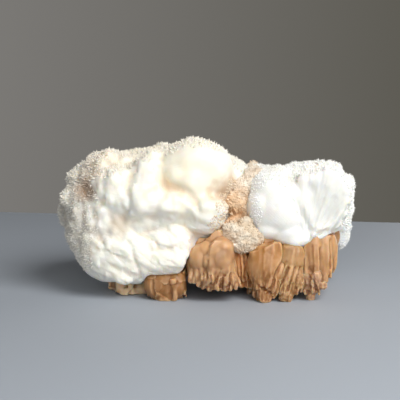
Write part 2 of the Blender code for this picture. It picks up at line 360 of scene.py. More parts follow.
def ramp(value, low, high):
    """0 below low, 1 above high, a straight line between."""
    return min(max((value - low) / (high - low), 0.0), 1.0)


print("halfway up a ramp:", ramp(0.5, 0, 1))

# %% [markdown]
# The nodes that come up most get a helper each, which makes the node and gives back its output. `carve`
# uses them to move the skin along its normal by a pattern of heights.

# %% Node helpers
def maths(group, kind, first, second=None):
    """The output of a Math node whose inputs are sockets or numbers."""
    values = {0: first} if second is None else {0: first, 1: second}
    return make_node(group, "ShaderNodeMath", values, operation=kind).outputs[0]


def vector_maths(group, kind, first, second):
    """A Vector Math node whose inputs are sockets or vectors."""
    return make_node(group, "ShaderNodeVectorMath", {0: first, 1: second}, operation=kind)


def noise_of(group, vector, scale, detail=3.0, roughness=0.5):
    """A cloudy value between 0 and 1."""
    values = {"Scale": scale, "Detail": detail, "Roughness": roughness, "Vector": vector}
    return make_node(group, "ShaderNodeTexNoise", values).outputs[0]


def new_group(name):
    """A Geometry Nodes tree that a mesh goes into and comes out of, and its two ends."""
    group = bpy.data.node_groups.new(name, "GeometryNodeTree")
    for way in ("INPUT", "OUTPUT"):
        group.interface.new_socket("Geometry", in_out=way, socket_type="NodeSocketGeometry")
    return group, make_node(group, "NodeGroupInput").outputs[0], make_node(group, "NodeGroupOutput")


def place_in(group):
    """The place of each point, as an output socket."""
    return make_node(group, "GeometryNodeInputPosition").outputs[0]


def named_value(group, name):
    """Reads an attribute or a vertex group of the mesh."""
    return make_node(group, "GeometryNodeInputNamedAttribute", {"Name": name}, data_type="FLOAT").outputs[0]


def carve(piece, name, rule, weight=""):
    """Moves the skin along its own normal by the height in millimetres that a rule gives each place."""
    group, mesh, leave = new_group(name)
    height = maths(group, "MULTIPLY", rule(group, place_in(group)), MM)
    if weight:
        height = maths(group, "MULTIPLY", height, named_value(group, weight))
    normal = make_node(group, "GeometryNodeInputNormal").outputs[0]
    shift = make_node(group, "ShaderNodeVectorMath", {0: normal, "Scale": height}, operation="SCALE")
    move = make_node(group, "GeometryNodeSetPosition", {"Geometry": mesh, "Offset": shift.outputs[0]})
    feed(group, leave, {0: move.outputs[0]})
    apply(piece, "NODES", node_group=group)


print("helpers:", ", ".join(helper.__name__ for helper in (maths, vector_maths, noise_of, carve)))

# %% [markdown]
# Four patterns cover what crystals do to a surface: round heads where sprays end, tilted facets where
# needles broke off, long strokes along blades, and rays that spread from one point.

# %% Patterns of height
def stretched(group, place, sizes, turn=(0, 0, 0)):
    """The place measured in steps of these sizes in millimetres, along axes turned by degrees."""
    values = {"Vector": place, "Rotation": [math.radians(angle) for angle in turn]}
    node = make_node(group, "ShaderNodeVectorRotate", values, rotation_type="EULER_XYZ", invert=True)
    return vector_maths(group, "DIVIDE", node.outputs[0], tuple(size * MM for size in sizes)).outputs[0]


def cells_of(group, vector, kind):
    """A Voronoi pattern with cells about one step wide."""
    return make_node(group, "ShaderNodeTexVoronoi", {"Scale": 1.0, "Vector": vector}, feature=kind)


def heads(size, height):
    """Round heads of about this size, side by side, as the ends of small sprays have."""
    def rule(group, place):
        cell = cells_of(group, stretched(group, place, (size, size, size)), "SMOOTH_F1")
        cell.inputs["Smoothness"].default_value = 0.35
        fall = maths(group, "POWER", cell.outputs["Distance"], 1.6)
        return maths(group, "MULTIPLY", maths(group, "SUBTRACT", 0.3, fall), height)
    return rule


def facets(sizes, tilt, turn=(0, 0, 0)):
    """Flat patches, each tilted its own way, as where needles broke off along their length."""
    def rule(group, place):
        spread = stretched(group, place, sizes, turn)
        cell = cells_of(group, spread, "F1")
        away = vector_maths(group, "SUBTRACT", spread, cell.outputs["Position"]).outputs[0]
        lean = vector_maths(group, "SUBTRACT", cell.outputs["Color"], (0.5, 0.5, 0.5)).outputs[0]
        slope = vector_maths(group, "DOT_PRODUCT", away, lean).outputs["Value"]
        return maths(group, "MULTIPLY", slope, 3 * tilt)
    return rule


def above_middle(group, value, height):
    """Turns a value between 0 and 1 into heights from -height to height."""
    return maths(group, "MULTIPLY", maths(group, "SUBTRACT", value, 0.5), 2 * height)


def strokes(sizes, height, turn=(0, 0, 0), detail=2.0):
    """Long low ridges along one direction."""
    def rule(group, place):
        value = noise_of(group, stretched(group, place, sizes, turn), 1.0, detail)
        return above_middle(group, value, height)
    return rule


def polar(group, place, origin, across, along):
    """Turns a place into its angle and its distance from an origin in the front plane."""
    away = vector_maths(group, "SUBTRACT", place, origin).outputs[0]
    x, y, z = make_node(group, "ShaderNodeSeparateXYZ", {0: away}).outputs
    squares = maths(group, "ADD", maths(group, "POWER", x, 2), maths(group, "POWER", z, 2))
    radius = maths(group, "SQRT", squares)
    angle = maths(group, "ARCTAN2", x, z)
    values = {
        0: maths(group, "MULTIPLY", angle, across),
        1: maths(group, "MULTIPLY", radius, along),
        2: maths(group, "MULTIPLY", y, along),
    }
    return make_node(group, "ShaderNodeCombineXYZ", values).outputs[0]


def rays(origin, height, across, along):
    """Long low ridges that spread from an origin."""
    def rule(group, place):
        value = noise_of(group, polar(group, place, origin, across, along), 1.0, 2.0)
        return above_middle(group, value, height)
    return rule


print("patterns:", ", ".join(pattern.__name__ for pattern in (heads, facets, strokes, rays)))

# %% [markdown]
# Where no surface lies under a pixel, a point is taken in an upright plane at a chosen depth. An oval
# around such a point marks a region of the front.

# %% Places from the photograph
def in_plane(px, py, y):
    """The point under a photograph pixel in the upright plane y millimetres behind the middle."""
    way = camera.rotation_euler.to_matrix() @ way_through(px, py)
    return camera.location + way * ((y * MM - camera.location.y) / way.y)


def oval(px, py, rx, rz, y=-32):
    """A rule that is 1 in an upright oval around a photograph pixel and fades to 0 at its rim."""
    centre = in_plane(px, py, y) / MM

    def rule(place):
        return 1 - ramp(math.hypot((place.x - centre.x) / rx, (place.z - centre.z) / rz), 0.65, 1.15)
    return rule


print("the photograph's middle lies at", [round(part / MM, 1) for part in in_plane(200, 200, 0)])

# %% [markdown]
# ## Left mass
# On the real piece this is a crowd of rounded sprays, each the outside of thousands of needles that
# radiate from one point. It could be carved from one block, but sprays grow into each other and meet in
# soft little valleys, so balls melted into one skin come closer. The core is the solid's own shape, drawn
# in a little. Balls go on it where the photograph shows a rounded knob, and a scatter of others covers
# the sides and the back.

# %% Left mass: core and knobs
# Knobs seen in the photograph: pixel x and y, half sizes, and how deep the centre lies, in millimetres
LEFT_KNOBS = [
    (194, 166, 15, 11, 13, 9.9),           # cream dome, from broad low swellings
    (209, 170, 12, 10, 12, 8.7),
    (179, 166, 9, 8, 10, 6.6),
    (214, 181, 9, 8, 8, 6.9),
    (171, 174, 6, 7, 8, 5.6),
    (190, 155, 10, 8, 6, 6.9),
    (168, 163, 9, 7, 8, 6.0),
    (178, 178, 7, 6, 6, 5.0),
    (205.5, 207.5, 6.2, 6, 5.0, 4.2),      # ledge, right
    (216, 210, 6.4, 6, 5.4, 4.2),
    (194, 209, 5, 5, 4.6, 3.6),
    (182.5, 202, 4.6, 5, 5.0, 3.2),        # ledge, middle
    (172, 201, 4.2, 4.5, 4.4, 3.4),
    (157.5, 197.5, 3.6, 4.5, 5.4, 3.0),    # ledge, left: a pair of bright knobs
    (149, 201, 4.2, 4.5, 5.0, 3.2),
    (141, 206.5, 4.8, 5, 4.8, 3.2),
    (165, 207, 4.4, 4, 4.2, 3.0),
    (146, 181, 6.6, 5, 3.6, 3.4),          # lip above the ledge
    (139, 173, 4.6, 4.5, 4.4, 3.2),
    (152, 174, 4.0, 4, 4.0, 3.0),
    (112, 180, 4.0, 4.5, 5.6, 2.8),        # upright knobs on the left
    (119, 187, 2.6, 3, 4.6, 2.0),
    (110, 199, 4.2, 4.5, 5.2, 3.0),
    (119, 203, 2.6, 3, 4.8, 1.9),
    (100, 167, 5.0, 5, 4.4, 3.6),
    (108, 158, 4.2, 4.5, 4.0, 3.2),
    (126, 162, 5.2, 5, 4.4, 3.8),
    (118, 160, 2.4, 2.6, 2.2, 1.6),
    (142, 165, 3.8, 4, 3.6, 2.8),
    (152, 158, 4.2, 4.5, 4.2, 3.4),
    (164, 156, 4.8, 5, 4.6, 3.8),
    (178, 151, 5.0, 5, 4.4, 3.9),
    (86, 176, 3.4, 3.6, 3.4, 2.6),
    (94, 184, 3.0, 3.2, 3.4, 2.2),
    (76, 180, 3.6, 4, 4.0, 3.0),
    (75, 211, 3.0, 4, 4.4, 2.8),           # granular flank
    (74, 226, 3.0, 4, 4.2, 2.8),
    (89, 215, 3.8, 4, 4.2, 2.8),
    (91, 227, 3.4, 3.6, 3.4, 2.4),
    (87, 238, 3.8, 4, 4.0, 2.8),
    (100, 226, 2.8, 3, 3.2, 2.0),
    (101, 210, 3.6, 3.8, 4.0, 2.8),
    (114, 231, 3.6, 3.4, 4.0, 2.2),
    (66, 199, 3.2, 4, 4.6, 2.8),           # grey lobe at the far left
    (66, 219, 3.2, 4, 4.4, 2.9),
    (70, 238, 2.2, 2.4, 2.2, 1.5),         # pink nub
    (124, 279, 6, 5, 3.6, 3.6),            # lobe over the sliver
]
# Knobs along the top outline: pixel of the centre, distance behind the middle, radius
LEFT_TOP = [
    (112, 163, 0, 6), (124, 161, 0, 6), (136, 160.5, 0, 6), (148, 160, 1, 6), (160, 158.5, 2, 6),
    (172, 156.5, 2, 6),
    (184, 153.5, 2, 6), (214, 159.5, 0, 6), (226, 163, 0, 5.5), (98, 168, -4, 5.5),
    (87, 172.5, -4, 6), (78, 180, -6, 6),
]
# Small points on the outline: pixels of foot and tip
LEFT_POINTS = [
    ((193, 147), (195.5, 137.5), 2.6), ((200, 148), (201.5, 143.5), 2.0),
    ((107, 156), (104.5, 149.5), 1.5),
]
BACK_KNOBS = 150
KNOB_SIZES = (3.0, 8.0)


def some_faces(piece, rng, count, allowed):
    """Faces picked at random, large ones more often, where the rule allows their place and normal."""
    faces = [face for face in piece.data.polygons if allowed(face.center / MM, face.normal)]
    return rng.choices(faces, [face.area for face in faces], k=count) if faces else []


def knobs_behind(piece, count, sizes, seed, allowed, sunk=0.82):
    """Balls set at random on the faces of the piece whose place and normal are allowed."""
    rng = random.Random(seed)
    made = []
    for face in some_faces(piece, rng, count, allowed):
        size = rng.uniform(*sizes)
        centre = face.center - face.normal * size * rng.uniform(sunk - 0.08, sunk + 0.08) * MM
        squash = [size * rng.uniform(0.85, 1.15) for _ in range(3)]
        made.append(ball(centre, squash, [rng.uniform(0, 90) for _ in range(3)], detail=3))
    return made


def not_front(place, normal):
    """The sides, the back and the top, but not the front."""
    return (normal.y > -0.25 or place.z > 66) and normal.z > -0.9


def cone_between(start, end, start_size, end_size):
    """A long cone from one point to another, with half thicknesses in millimetres."""
    run = end - start
    bpy.ops.object.select_all(action="DESELECT")
    bpy.ops.mesh.primitive_cone_add(
        vertices=14, radius1=start_size * MM, radius2=end_size * MM, depth=run.length,
        location=(start + end) / 2, rotation=run.to_track_quat("Z", "Y").to_euler(),
    )
    return bpy.context.object


left = core_of("scolecite_left_mass", "left_mass", 0.7)
knobs = lumps_on(left, LEFT_KNOBS) + knobs_behind(left, BACK_KNOBS, KNOB_SIZES, 5, not_front)
for px, py, depth, size in LEFT_TOP:
    knobs.append(ball(in_plane(px, py, depth), (size, size, size)))
for foot, tip, size in LEFT_POINTS:
    knobs.append(cone_between(in_plane(*foot, -8), in_plane(*tip, -8), size, 0.5))
left = join("left_mass", [left] + knobs)
melt(left, 0.66, 4)
print("left mass:", len(knobs), "knobs,", len(left.data.polygons), "faces")

# %% [markdown]
# The skin isn't the same all over. The dome, the ledge and the broken face are smooth; everywhere else the
# sprays end in small round heads, which two sizes of cells raise. Each kind of skin gets a vertex group,
# and the groups limit what follows.

# %% Left mass: kinds of skin
SMOOTH_PLACES = [oval(197, 169, 18, 13), oval(210, 209, 9, 6), oval(182, 202, 6, 6), oval(150, 201, 10, 7)]


def broken_front(place, normal):
    """1 on the broken lower face, fading out at its rim."""
    low = 1 - ramp(place.z, 32 + 0.05 * (place.x + 30), 38 + 0.05 * (place.x + 30))
    facing = ramp(-normal.y, 0.2, 0.45)
    return low * facing * ramp(place.x, -62, -52)


def heady(place, normal):
    """1 where the skin is made of small heads."""
    smooth = max(rule(place) for rule in SMOOTH_PLACES) if normal.y < 0.1 and place.y < -10 else 0
    return max(0.12, 1 - max(smooth, broken_front(place, normal)))


def dome_zone(place, normal):
    """1 on the dome and on the soft slope to its left."""
    return dome_oval(place) if place.y < -4 else 0


dome_oval = oval(190, 168, 25, 15)
weigh(left, "break", broken_front)
weigh(left, "heads", heady)
weigh(left, "behind", lambda place, normal: ramp(place.y, -4, 8))
weigh(left, "dome", dome_zone)
carve(left, "swellings", strokes((17, 17, 17), 0.9, detail=1.0))
carve(left, "sprays behind", heads(14, 7.5), "behind")
carve(left, "large heads", heads(7.0, 1.3), "heads")
soften(left, 22, "dome")
LEFT_GROOVES = [
    # depth, width, then the line
    (1.9, 3.0, [(134, 169), (128, 176), (125, 186), (127, 197), (127.5, 206), (123, 220)]),
    (1.5, 2.6, [(157, 166), (161, 174), (163, 182)]),
    (1.9, 3.4, [(165, 185), (175, 187.5), (187, 195), (194, 202)]),
    (1.1, 2.4, [(208, 191), (211, 198)]),
    (0.7, 1.6, [(136, 188), (145, 189), (154, 187)]),
    (1.5, 4.4, [(134, 221), (150, 218), (172, 218), (190, 221), (200, 226)]),
    (1.2, 2.2, [(83, 207), (82, 222), (78, 238), (80, 249)]),
    (1.1, 2.0, [(71, 186), (69, 200), (71, 217), (73, 230)]),
    (1.8, 2.8, [(82, 187), (86, 194)]),
    (0.5, 1.6, [(109, 216), (112, 223)]),
    (1.0, 2.0, [(116, 166), (113, 170), (104, 175)]),
    (0.9, 2.0, [(103, 188), (102, 200), (98, 206)]),
    (0.8, 1.8, [(172, 194), (171, 206)]),
    (0.8, 1.8, [(196, 203), (199, 214)]),
]
press_all(left, LEFT_GROOVES)
soften(left, 12)
carve(left, "small heads", heads(2.6, 0.65), "heads")
soften(left, 2)
print("grooves:", len(LEFT_GROOVES))

# %% [markdown]
# The lower front of the left mass is broken open: there the needles are seen from the side, white and
# silky, in steps and facets. Flat patches that lean each its own way give the facets, a few creases and
# raised bands follow the photograph, and low strokes run along the needles.

# %% Left mass: silky break
BREAK_TURN = (0, 33, 0)
carve(left, "break facets", facets((14, 9, 7), 0.95, BREAK_TURN), "break")
carve(left, "break chips", facets((6, 4, 3), 0.38, (0, 48, 0)), "break")
soften(left, 3, "break")
LEFT_CREASES = [
    (0.84, 1.7, [(128, 241), (132, 253), (135, 262), (139.5, 273), (141.5, 279)]),
    (0.7, 1.7, [(152, 251), (160, 250.5), (171, 249)]),
    (0.63, 1.5, [(144, 232), (151, 231), (158, 227)]),
    (0.63, 2.4, [(112, 266), (119, 270), (127, 274)]),
    (0.42, 1.6, [(176, 246), (181, 252), (187, 260)]),
    (0.56, 1.6, [(96, 249), (104, 251), (112, 252)]),
    (-0.7, 2.6, [(104, 240), (112, 243), (121, 248), (128, 252)]),
    (-0.63, 2.6, [(128, 238), (135, 239), (142, 238)]),
    (-0.63, 4.4, [(141, 258), (150, 262), (156, 270)]),
    (-0.56, 2.6, [(160, 243), (170, 243), (178, 241)]),
    (-0.63, 2.8, [(137, 225), (147, 224), (157, 226)]),
    (-0.56, 3.4, [(92, 257), (102, 258), (110, 261)]),
    (-0.56, 2.8, [(117, 281), (124, 283), (131, 281)]),
]
press_all(left, LEFT_CREASES)
soften(left, 3)
carve(left, "break needles", strokes((9, 1.6, 1.2), 0.16, BREAK_TURN), "break")
print("creases and bands:", len(LEFT_CREASES))

# %% [markdown]
# ## Right fan
# A second spray fills the right side. Its left half is a smooth white mound; its right half is split open
# along the needles, which radiate upwards from a point at its foot like the ribs of a fan. Long thin cones
# laid side by side from that point and melted into the core give the ribs.

# %% Right fan
FAN_KNOBS = [
    (283, 210, 13, 11, 15, 9.9),
    (290, 232, 11, 9, 7, 7.8),
    (271, 190, 10, 9, 9, 7.8),
    (264, 208, 8, 8, 10, 7.0),
    (272, 230, 8, 8, 6, 6.9),
    (300, 239, 7, 6, 5, 4.4),
    (286, 237, 7, 6, 4.6, 4.4),
    (310, 236, 4, 5, 4, 3.4),
    (258, 172, 4.5, 4.5, 3.8, 3.2),
    (264, 178, 4, 4, 4, 2.8),
    (281, 174, 5, 5, 4, 4.2),
    (296, 173, 6, 6, 4.5, 5.0),
    (309, 172, 5, 6, 4.5, 5.0),
    (322, 171, 6, 6, 5.0, 5.2),
    (333, 172, 5, 6, 5.0, 5.2),
    (342, 172, 4.4, 6, 4.6, 4.8),
    (349, 186, 3.0, 6, 5.5, 5.0),
]
RIB_FOOT = (308.5, 246)
RIB_FRONT = -32.6
# Where each rib ends, its thickness there in millimetres, and how proud it stands
RIBS = [
    ((304, 180), 3.6, 0.2), ((311, 178), 3.0, -0.2), ((318, 176), 3.4, 0.1), ((326, 174), 3.8, 0.6),
    ((334, 176), 3.6, 0.5), ((341, 181), 3.4, 0.7), ((346, 192), 3.0, 0.9), ((347, 203), 2.6, 0.5),
    ((344, 213), 2.4, 1.0), ((339, 223), 2.0, 0.5),
]


def far_side(place, normal):
    """The back and the right side, at half height."""
    return place.y > 8 and 30 < place.z < 52 and normal.z < 0.4 and (normal.y > 0.3 or normal.x > 0.3)


def lower_rim(place, normal):
    """The lower edge, behind and on the right."""
    return place.z < 34 and abs(normal.z) < 0.7 and (normal.y > 0.1 or normal.x > 0.5)


fan = core_of("scolecite_right_fan", "right_fan", 0.6)
parts = lumps_on(fan, FAN_KNOBS)
foot = in_plane(*RIB_FOOT, RIB_FRONT + 2.2)
for (px, py), size, proud in RIBS:
    tip = in_plane(px, py, RIB_FRONT + size - 0.2 - proud)
    parts.append(cone_between(foot, tip, 0.9, size))
    parts.append(ball(tip, (size, size, size)))
parts += knobs_behind(fan, 70, (3.0, 7.0), 8, not_front)
# Lobes along the lower rim, on the right and behind, which hang over the stilbite
parts += knobs_behind(fan, 26, (3.5, 6.5), 21, lower_rim, 0.3)
parts += knobs_behind(fan, 16, (6.0, 10.0), 33, far_side, 0.55)
fan = join("right_fan", [fan] + parts)
melt(fan, 0.55, 4)


def fan_face(place, normal):
    """1 on the split face of the fan, 0 on the mound and behind."""
    return ramp(-normal.y, 0.3, 0.6) * ramp(place.x, 41 + (45 - place.z) * 0.35, 44 + (45 - place.z) * 0.35)


def fan_heads(place, normal):
    """1 behind, on the sides and along the top, 0 on the front."""
    return max(ramp(normal.y, -0.35, 0.0), ramp(normal.z, 0.45, 0.8), ramp(normal.x, 0.6, 0.85), 0.08)


weigh(fan, "split", fan_face)
weigh(fan, "mound", lambda place, normal: ramp(-normal.y, 0.1, 0.4) * (1 - fan_face(place, normal)))
weigh(fan, "heads", fan_heads)
carve(fan, "swellings", strokes((15, 15, 15), 0.9, detail=1.0))
weigh(fan, "behind", lambda place, normal: ramp(place.y, -4, 8))
carve(fan, "sprays behind", heads(13, 6), "behind")
carve(fan, "large heads", heads(5.5, 1.2), "heads")
FAN_GROOVES = [
    (1.6, 1.9, [(296, 199), (300, 209), (304, 219), (308, 229), (309.5, 238)]),
    (0.8, 1.4, [(296, 214), (300, 216)]),
    (0.6, 0.9, [(274.5, 206), (275.5, 206.6)]),
    (0.7, 1.1, [(290, 199.5), (294, 199)]),
    (0.9, 2.0, [(291, 181), (293, 187), (297, 197)]),
    (0.9, 2.6, [(310, 186), (313, 197), (315, 209)]),
    (0.9, 2.4, [(314, 223), (318, 211), (322, 200), (325, 190)]),
    (0.8, 2.0, [(320, 223), (328, 210), (334, 199)]),
    (1.2, 1.8, [(331, 236), (337, 226), (343, 217), (348, 207)]),
    (-1.2, 1.9, [(314, 236), (319, 229), (329, 226), (336, 219), (342, 209), (348, 200)]),
    (-0.8, 1.8, [(304, 196), (307, 207), (311, 220)]),
    (0.9, 1.6, [(313, 240), (320, 234), (327, 231)]),
    (1.0, 2.2, [(292, 164), (292, 173)]),
    (0.9, 2.0, [(314, 162), (314, 171)]),
    (0.8, 2.2, [(332, 162), (331, 170)]),
    (1.2, 1.8, [(351, 177), (345, 179)]),
]
press_all(fan, FAN_GROOVES)
soften(fan, 5)
FAN_ORIGIN = in_plane(*RIB_FOOT, RIB_FRONT)
carve(fan, "small heads", heads(2.2, 0.7), "heads")
soften(fan, 20, "mound")
soften(fan, 14, "split")
carve(fan, "fan ribs", rays(FAN_ORIGIN, 1.2, 4.0, 20.0), "split")
carve(fan, "fan needles", rays(FAN_ORIGIN, 0.16, 16.0, 45.0), "split")
print("right fan:", len(parts), "parts,", len(fan.data.polygons), "faces")

# %% [markdown]
# ## Rear flap
# Behind the fan's lower right edge a smaller, bluish-white spray shows. It is the solid's own shape with a
# few knobs and a rim of small ones.

# %% Rear flap
flap = core_of("scolecite_rear_flap", "rear_flap", 0.4)
flap_knobs = knobs_behind(flap, 30, (2.0, 4.2), 3, lambda place, normal: normal.z > -0.6)
flap = join("rear_flap", [flap] + flap_knobs)
melt(flap, 0.5, 2)
carve(flap, "small heads", heads(2.6, 0.9))
print("rear flap:", len(flap.data.polygons), "faces")

# %% [markdown]
# ## Cleft
# Between both white masses lies a hollow lined with a coarse, honey-coloured crust, and under it a granular
# cream lobe. The bed is lumpy at the size of a few grains; the grains themselves come later, as small
# crystals.

# %% Cleft bed
CLEFT_KNOBS = [
    (240, 236, 6.0, 5, 5.0, 3.4),
    (252, 238, 6.4, 5, 4.6, 3.4),
    (231, 229, 4.0, 4, 3.6, 2.6),
    (262, 242, 5.0, 4, 3.4, 2.8),
    (243, 244, 8.0, 6, 4.6, 3.2),
    (258, 245, 7.0, 6, 3.6, 3.4),
    (245, 224, 4.6, 4, 3.4, 3.0),
    (234, 203, 6.0, 6, 5.6, 5.2),
    (243, 192, 6.0, 6, 7.0, 5.2),
    (238, 180, 6.0, 6, 5.6, 5.3),
]
cleft = core_of("cleft_druse", "cleft_crust", 0.3)
parts = lumps_on(cleft, CLEFT_KNOBS)
parts += knobs_behind(cleft, 60, (1.6, 3.4), 12, lambda place, normal: normal.z > -0.5)
cleft = join("cleft_crust", [cleft] + parts)
melt(cleft, 0.5, 2)
press(cleft, [(229, 213), (235, 216), (241, 214)], 2.6, 3.2)
press(cleft, [(224, 221), (231, 222), (238, 221)], 1.2, 2.0)
soften(cleft, 3)
carve(cleft, "coarse grains", heads(2.6, 1.2))
print("cleft bed:", len(cleft.data.polygons), "faces")

# %% [markdown]
# ## Stilbite sheaves
# Stilbite grows as bundles of thin blades that part at their ends, like a sheaf of wheat. One blade is
# modelled once: a bar with a lens-shaped section and a worn chisel tip. Copies of it, each with its own
# mesh, are laid side by side on the solid's core and melted, so that they fuse at the root and part at the
# tip. Smooth swellings, pressed grooves and fine lines along the blades follow.

# %% One blade
def blade_model():
    """A blade of unit length along +Z, one wide and one thick, with a worn chisel tip."""
    bpy.ops.object.select_all(action="DESELECT")
    bpy.ops.mesh.primitive_cylinder_add(vertices=10, radius=0.5, depth=0.5, location=(0, 0, 0.25))
    model = bpy.context.object
    model.name = "blade_model"
    bpy.ops.object.mode_set(mode="EDIT")
    bpy.ops.mesh.select_mode(type="FACE")
    bpy.ops.mesh.select_all(action="DESELECT")
    bm = bmesh.from_edit_mesh(model.data)
    max(bm.faces, key=lambda face: face.calc_center_median().z).select = True
    bmesh.update_edit_mesh(model.data)
    for rise, wide, thick in ((0.28, 0.97, 0.95), (0.15, 0.86, 0.76), (0.07, 0.6, 0.5)):
        bpy.ops.mesh.extrude_region_move(TRANSFORM_OT_translate={"value": (0, 0, rise)})
        bpy.ops.transform.resize(value=(wide, thick, 1))
    bpy.ops.object.mode_set(mode="OBJECT")
    model.data.transform(model.matrix_world)
    model.matrix_world = Matrix()
    model.hide_render = True
    return model


blade = blade_model()
print("blade:", len(blade.data.polygons), "faces")
TIP_START = 0.7


def lay_blade(root, tip, wide, thick, turn=0.0, slant=0.0):
    """A copy of the blade from root to tip, turned about its length by degrees, its tip cut aslant."""
    run = tip - root
    side = Vector((run.z, 0, -run.x)).normalized()
    front = run.normalized().cross(side)
    frame_of = Matrix((side, front, run.normalized())).transposed().to_4x4()
    mesh = blade.data.copy()
    for vertex in mesh.vertices:
        vertex.co.z += slant * vertex.co.x * max(vertex.co.z - TIP_START, 0)
    sizes = Matrix.Diagonal((wide * MM, thick * MM, run.length, 1))
    mesh.transform(Matrix.Translation(root) @ frame_of @ Matrix.Rotation(math.radians(turn), 4, "Z") @ sizes)
    made = new_object("blade", mesh)
    return made

# %% [markdown]
# Each sheaf lists the blades that the photograph shows: the pixel of the root, the pixel of the tip, the
# distance of the blade's middle behind the specimen's middle, its width, thickness, turn and slant. More
# blades stand around the sides, behind and underneath, where the photograph doesn't reach.

# %% What each sheaf shows
SHEAF_BLADES = {
    "stilbite_left_sliver": [
        (112, 278, 111, 289, -13, 4.0, 8, 20, 0.4), (118, 279, 119, 292.5, -13, 4.4, 9, -10, 0.5),
        (126.7, 277, 127.5, 294, -14.5, 6, 9, 0, 0), (124, 279, 125.5, 296, -13, 4.0, 9, 15, 0.4),
        (130, 280, 131, 298, -13, 3.6, 9, -15, 0),
        (136, 280, 137.5, 298, -13, 3.8, 9, 12, 0), (142, 280, 145, 297, -13, 4.0, 9, -8, -0.3),
    ],
    "stilbite_left_foot": [
        (160, 272, 159, 300.5, -27, 9, 8, 14, 0.3), (168, 272, 169, 302, -27.4, 11, 8, -6, 0),
        (175, 272, 176, 300.5, -26.4, 9, 7, -10, -0.3), (180, 274, 180, 295, -25, 6, 6, -30, -0.7),
        (153, 276, 151, 293, -25.4, 5, 6, 30, 0.9),
    ],
    "stilbite_centre_sheaf": [
        (194, 264, 190, 283, -33, 3.0, 4, 24, 0.5), (197, 266, 194.5, 282.5, -34, 2.4, 4, -10, 0.3),
        (201, 266, 199, 286, -35, 2.8, 4, 14, 0.7), (205, 268, 204, 289, -35.6, 2.2, 4, -12, 0.3),
        (208, 270, 208, 290, -36, 2.4, 4, 12, -0.5), (212, 272, 213.5, 289, -36.2, 2.2, 4, -14, 0.5),
        (216, 272, 218, 290.5, -36.2, 2.4, 4, 8, -0.6), (220, 272, 221, 282, -35, 1.8, 3, 0, 0),
        (229, 270, 225, 290, -35.6, 2.8, 4, 16, 0.6), (231, 270, 230.5, 291, -36, 2.6, 4, -6, 0.3),
        (232, 270, 236, 290, -35.6, 2.8, 4, -16, -0.5), (234, 272, 240.5, 287, -34.6, 2.0, 4, -24, -0.8),
    ],
    "stilbite_middle_blades": [
        (238, 254, 237, 284, -25, 2.6, 5, 24, 0.5), (242, 254, 242, 288, -26, 3.2, 4, 6, 0.3),
        (246, 254, 246.5, 286, -25, 1.8, 4, -14, 0), (250, 254, 251, 289, -25.6, 3.2, 4, -18, -0.4),
        (254, 256, 257, 289, -24.5, 2.6, 4, -34, 0),
    ],
    "stilbite_foot_sheaf": [
        (260, 262, 258.5, 283, -33, 4.0, 5, 20, 0.7), (265, 262, 265, 289, -34.2, 5.0, 5, 6, 0.5),
        (271, 264, 270, 291, -34.2, 4.0, 5, -12, 0.5), (277, 262, 272.5, 294.5, -33.6, 3.4, 5, -18, 0.6),
        (281, 264, 275, 298, -32.8, 2.4, 5, -10, 0.5),
        (261, 284, 260, 302, -30.4, 4.6, 6, 12, 0.6), (265, 284, 265.5, 301.5, -30.2, 3.8, 6, -14, -0.5),
        (256, 282, 256, 297, -29, 3.0, 6, 30, 0.8),
    ],
    "stilbite_khaki_sheaf": [
        (288, 264, 275, 296, -32, 2.2, 4, 18, 0.6), (291, 266, 279.5, 299.5, -32.6, 2.6, 4, 4, 0.5),
        (294, 264, 285, 300.5, -32.9, 3.2, 4, -8, 0.4), (298, 264, 291, 298, -32.4, 2.4, 4, 14, -0.4),
        (301, 266, 295.5, 294.5, -32.4, 2.8, 4, -14, -0.6), (304, 266, 300, 291, -31.6, 2.4, 4, -26, -0.4),
    ],
    "stilbite_right_columns": [
        (310, 250, 308.5, 272, -30, 3.0, 5, 24, 0.5), (315, 250, 316, 281.5, -30.6, 4.8, 5, 4, 0.4),
        (323, 248, 324.5, 283.5, -30.6, 4.6, 5, -6, -0.4), (329, 246, 329.5, 278, -30, 3.2, 5, -18, -0.6),
        (334, 244, 333, 270, -28, 2.8, 5, -44, -0.7),
    ],
    "stilbite_small_cluster": [
        (311, 272, 320.5, 294, -32, 2.2, 3, 6, 0.8), (307, 273, 308.5, 288, -31.5, 1.8, 3, 20, 0.5),
        (316, 271, 325.5, 289, -31, 2.2, 3, -16, 0.6), (305, 280, 306, 294.5, -31, 2.0, 3, 26, 0.4),
        (311, 284, 309.5, 296.5, -31.6, 2.0, 3, -18, 0.7), (303, 276, 301.5, 292, -30, 2.0, 3, 12, 0.5),
        (315, 284, 315.5, 293, -30, 1.6, 3, 5, 0.4),
    ],
    "stilbite_back_centre": [],
    "stilbite_back_right": [],
}
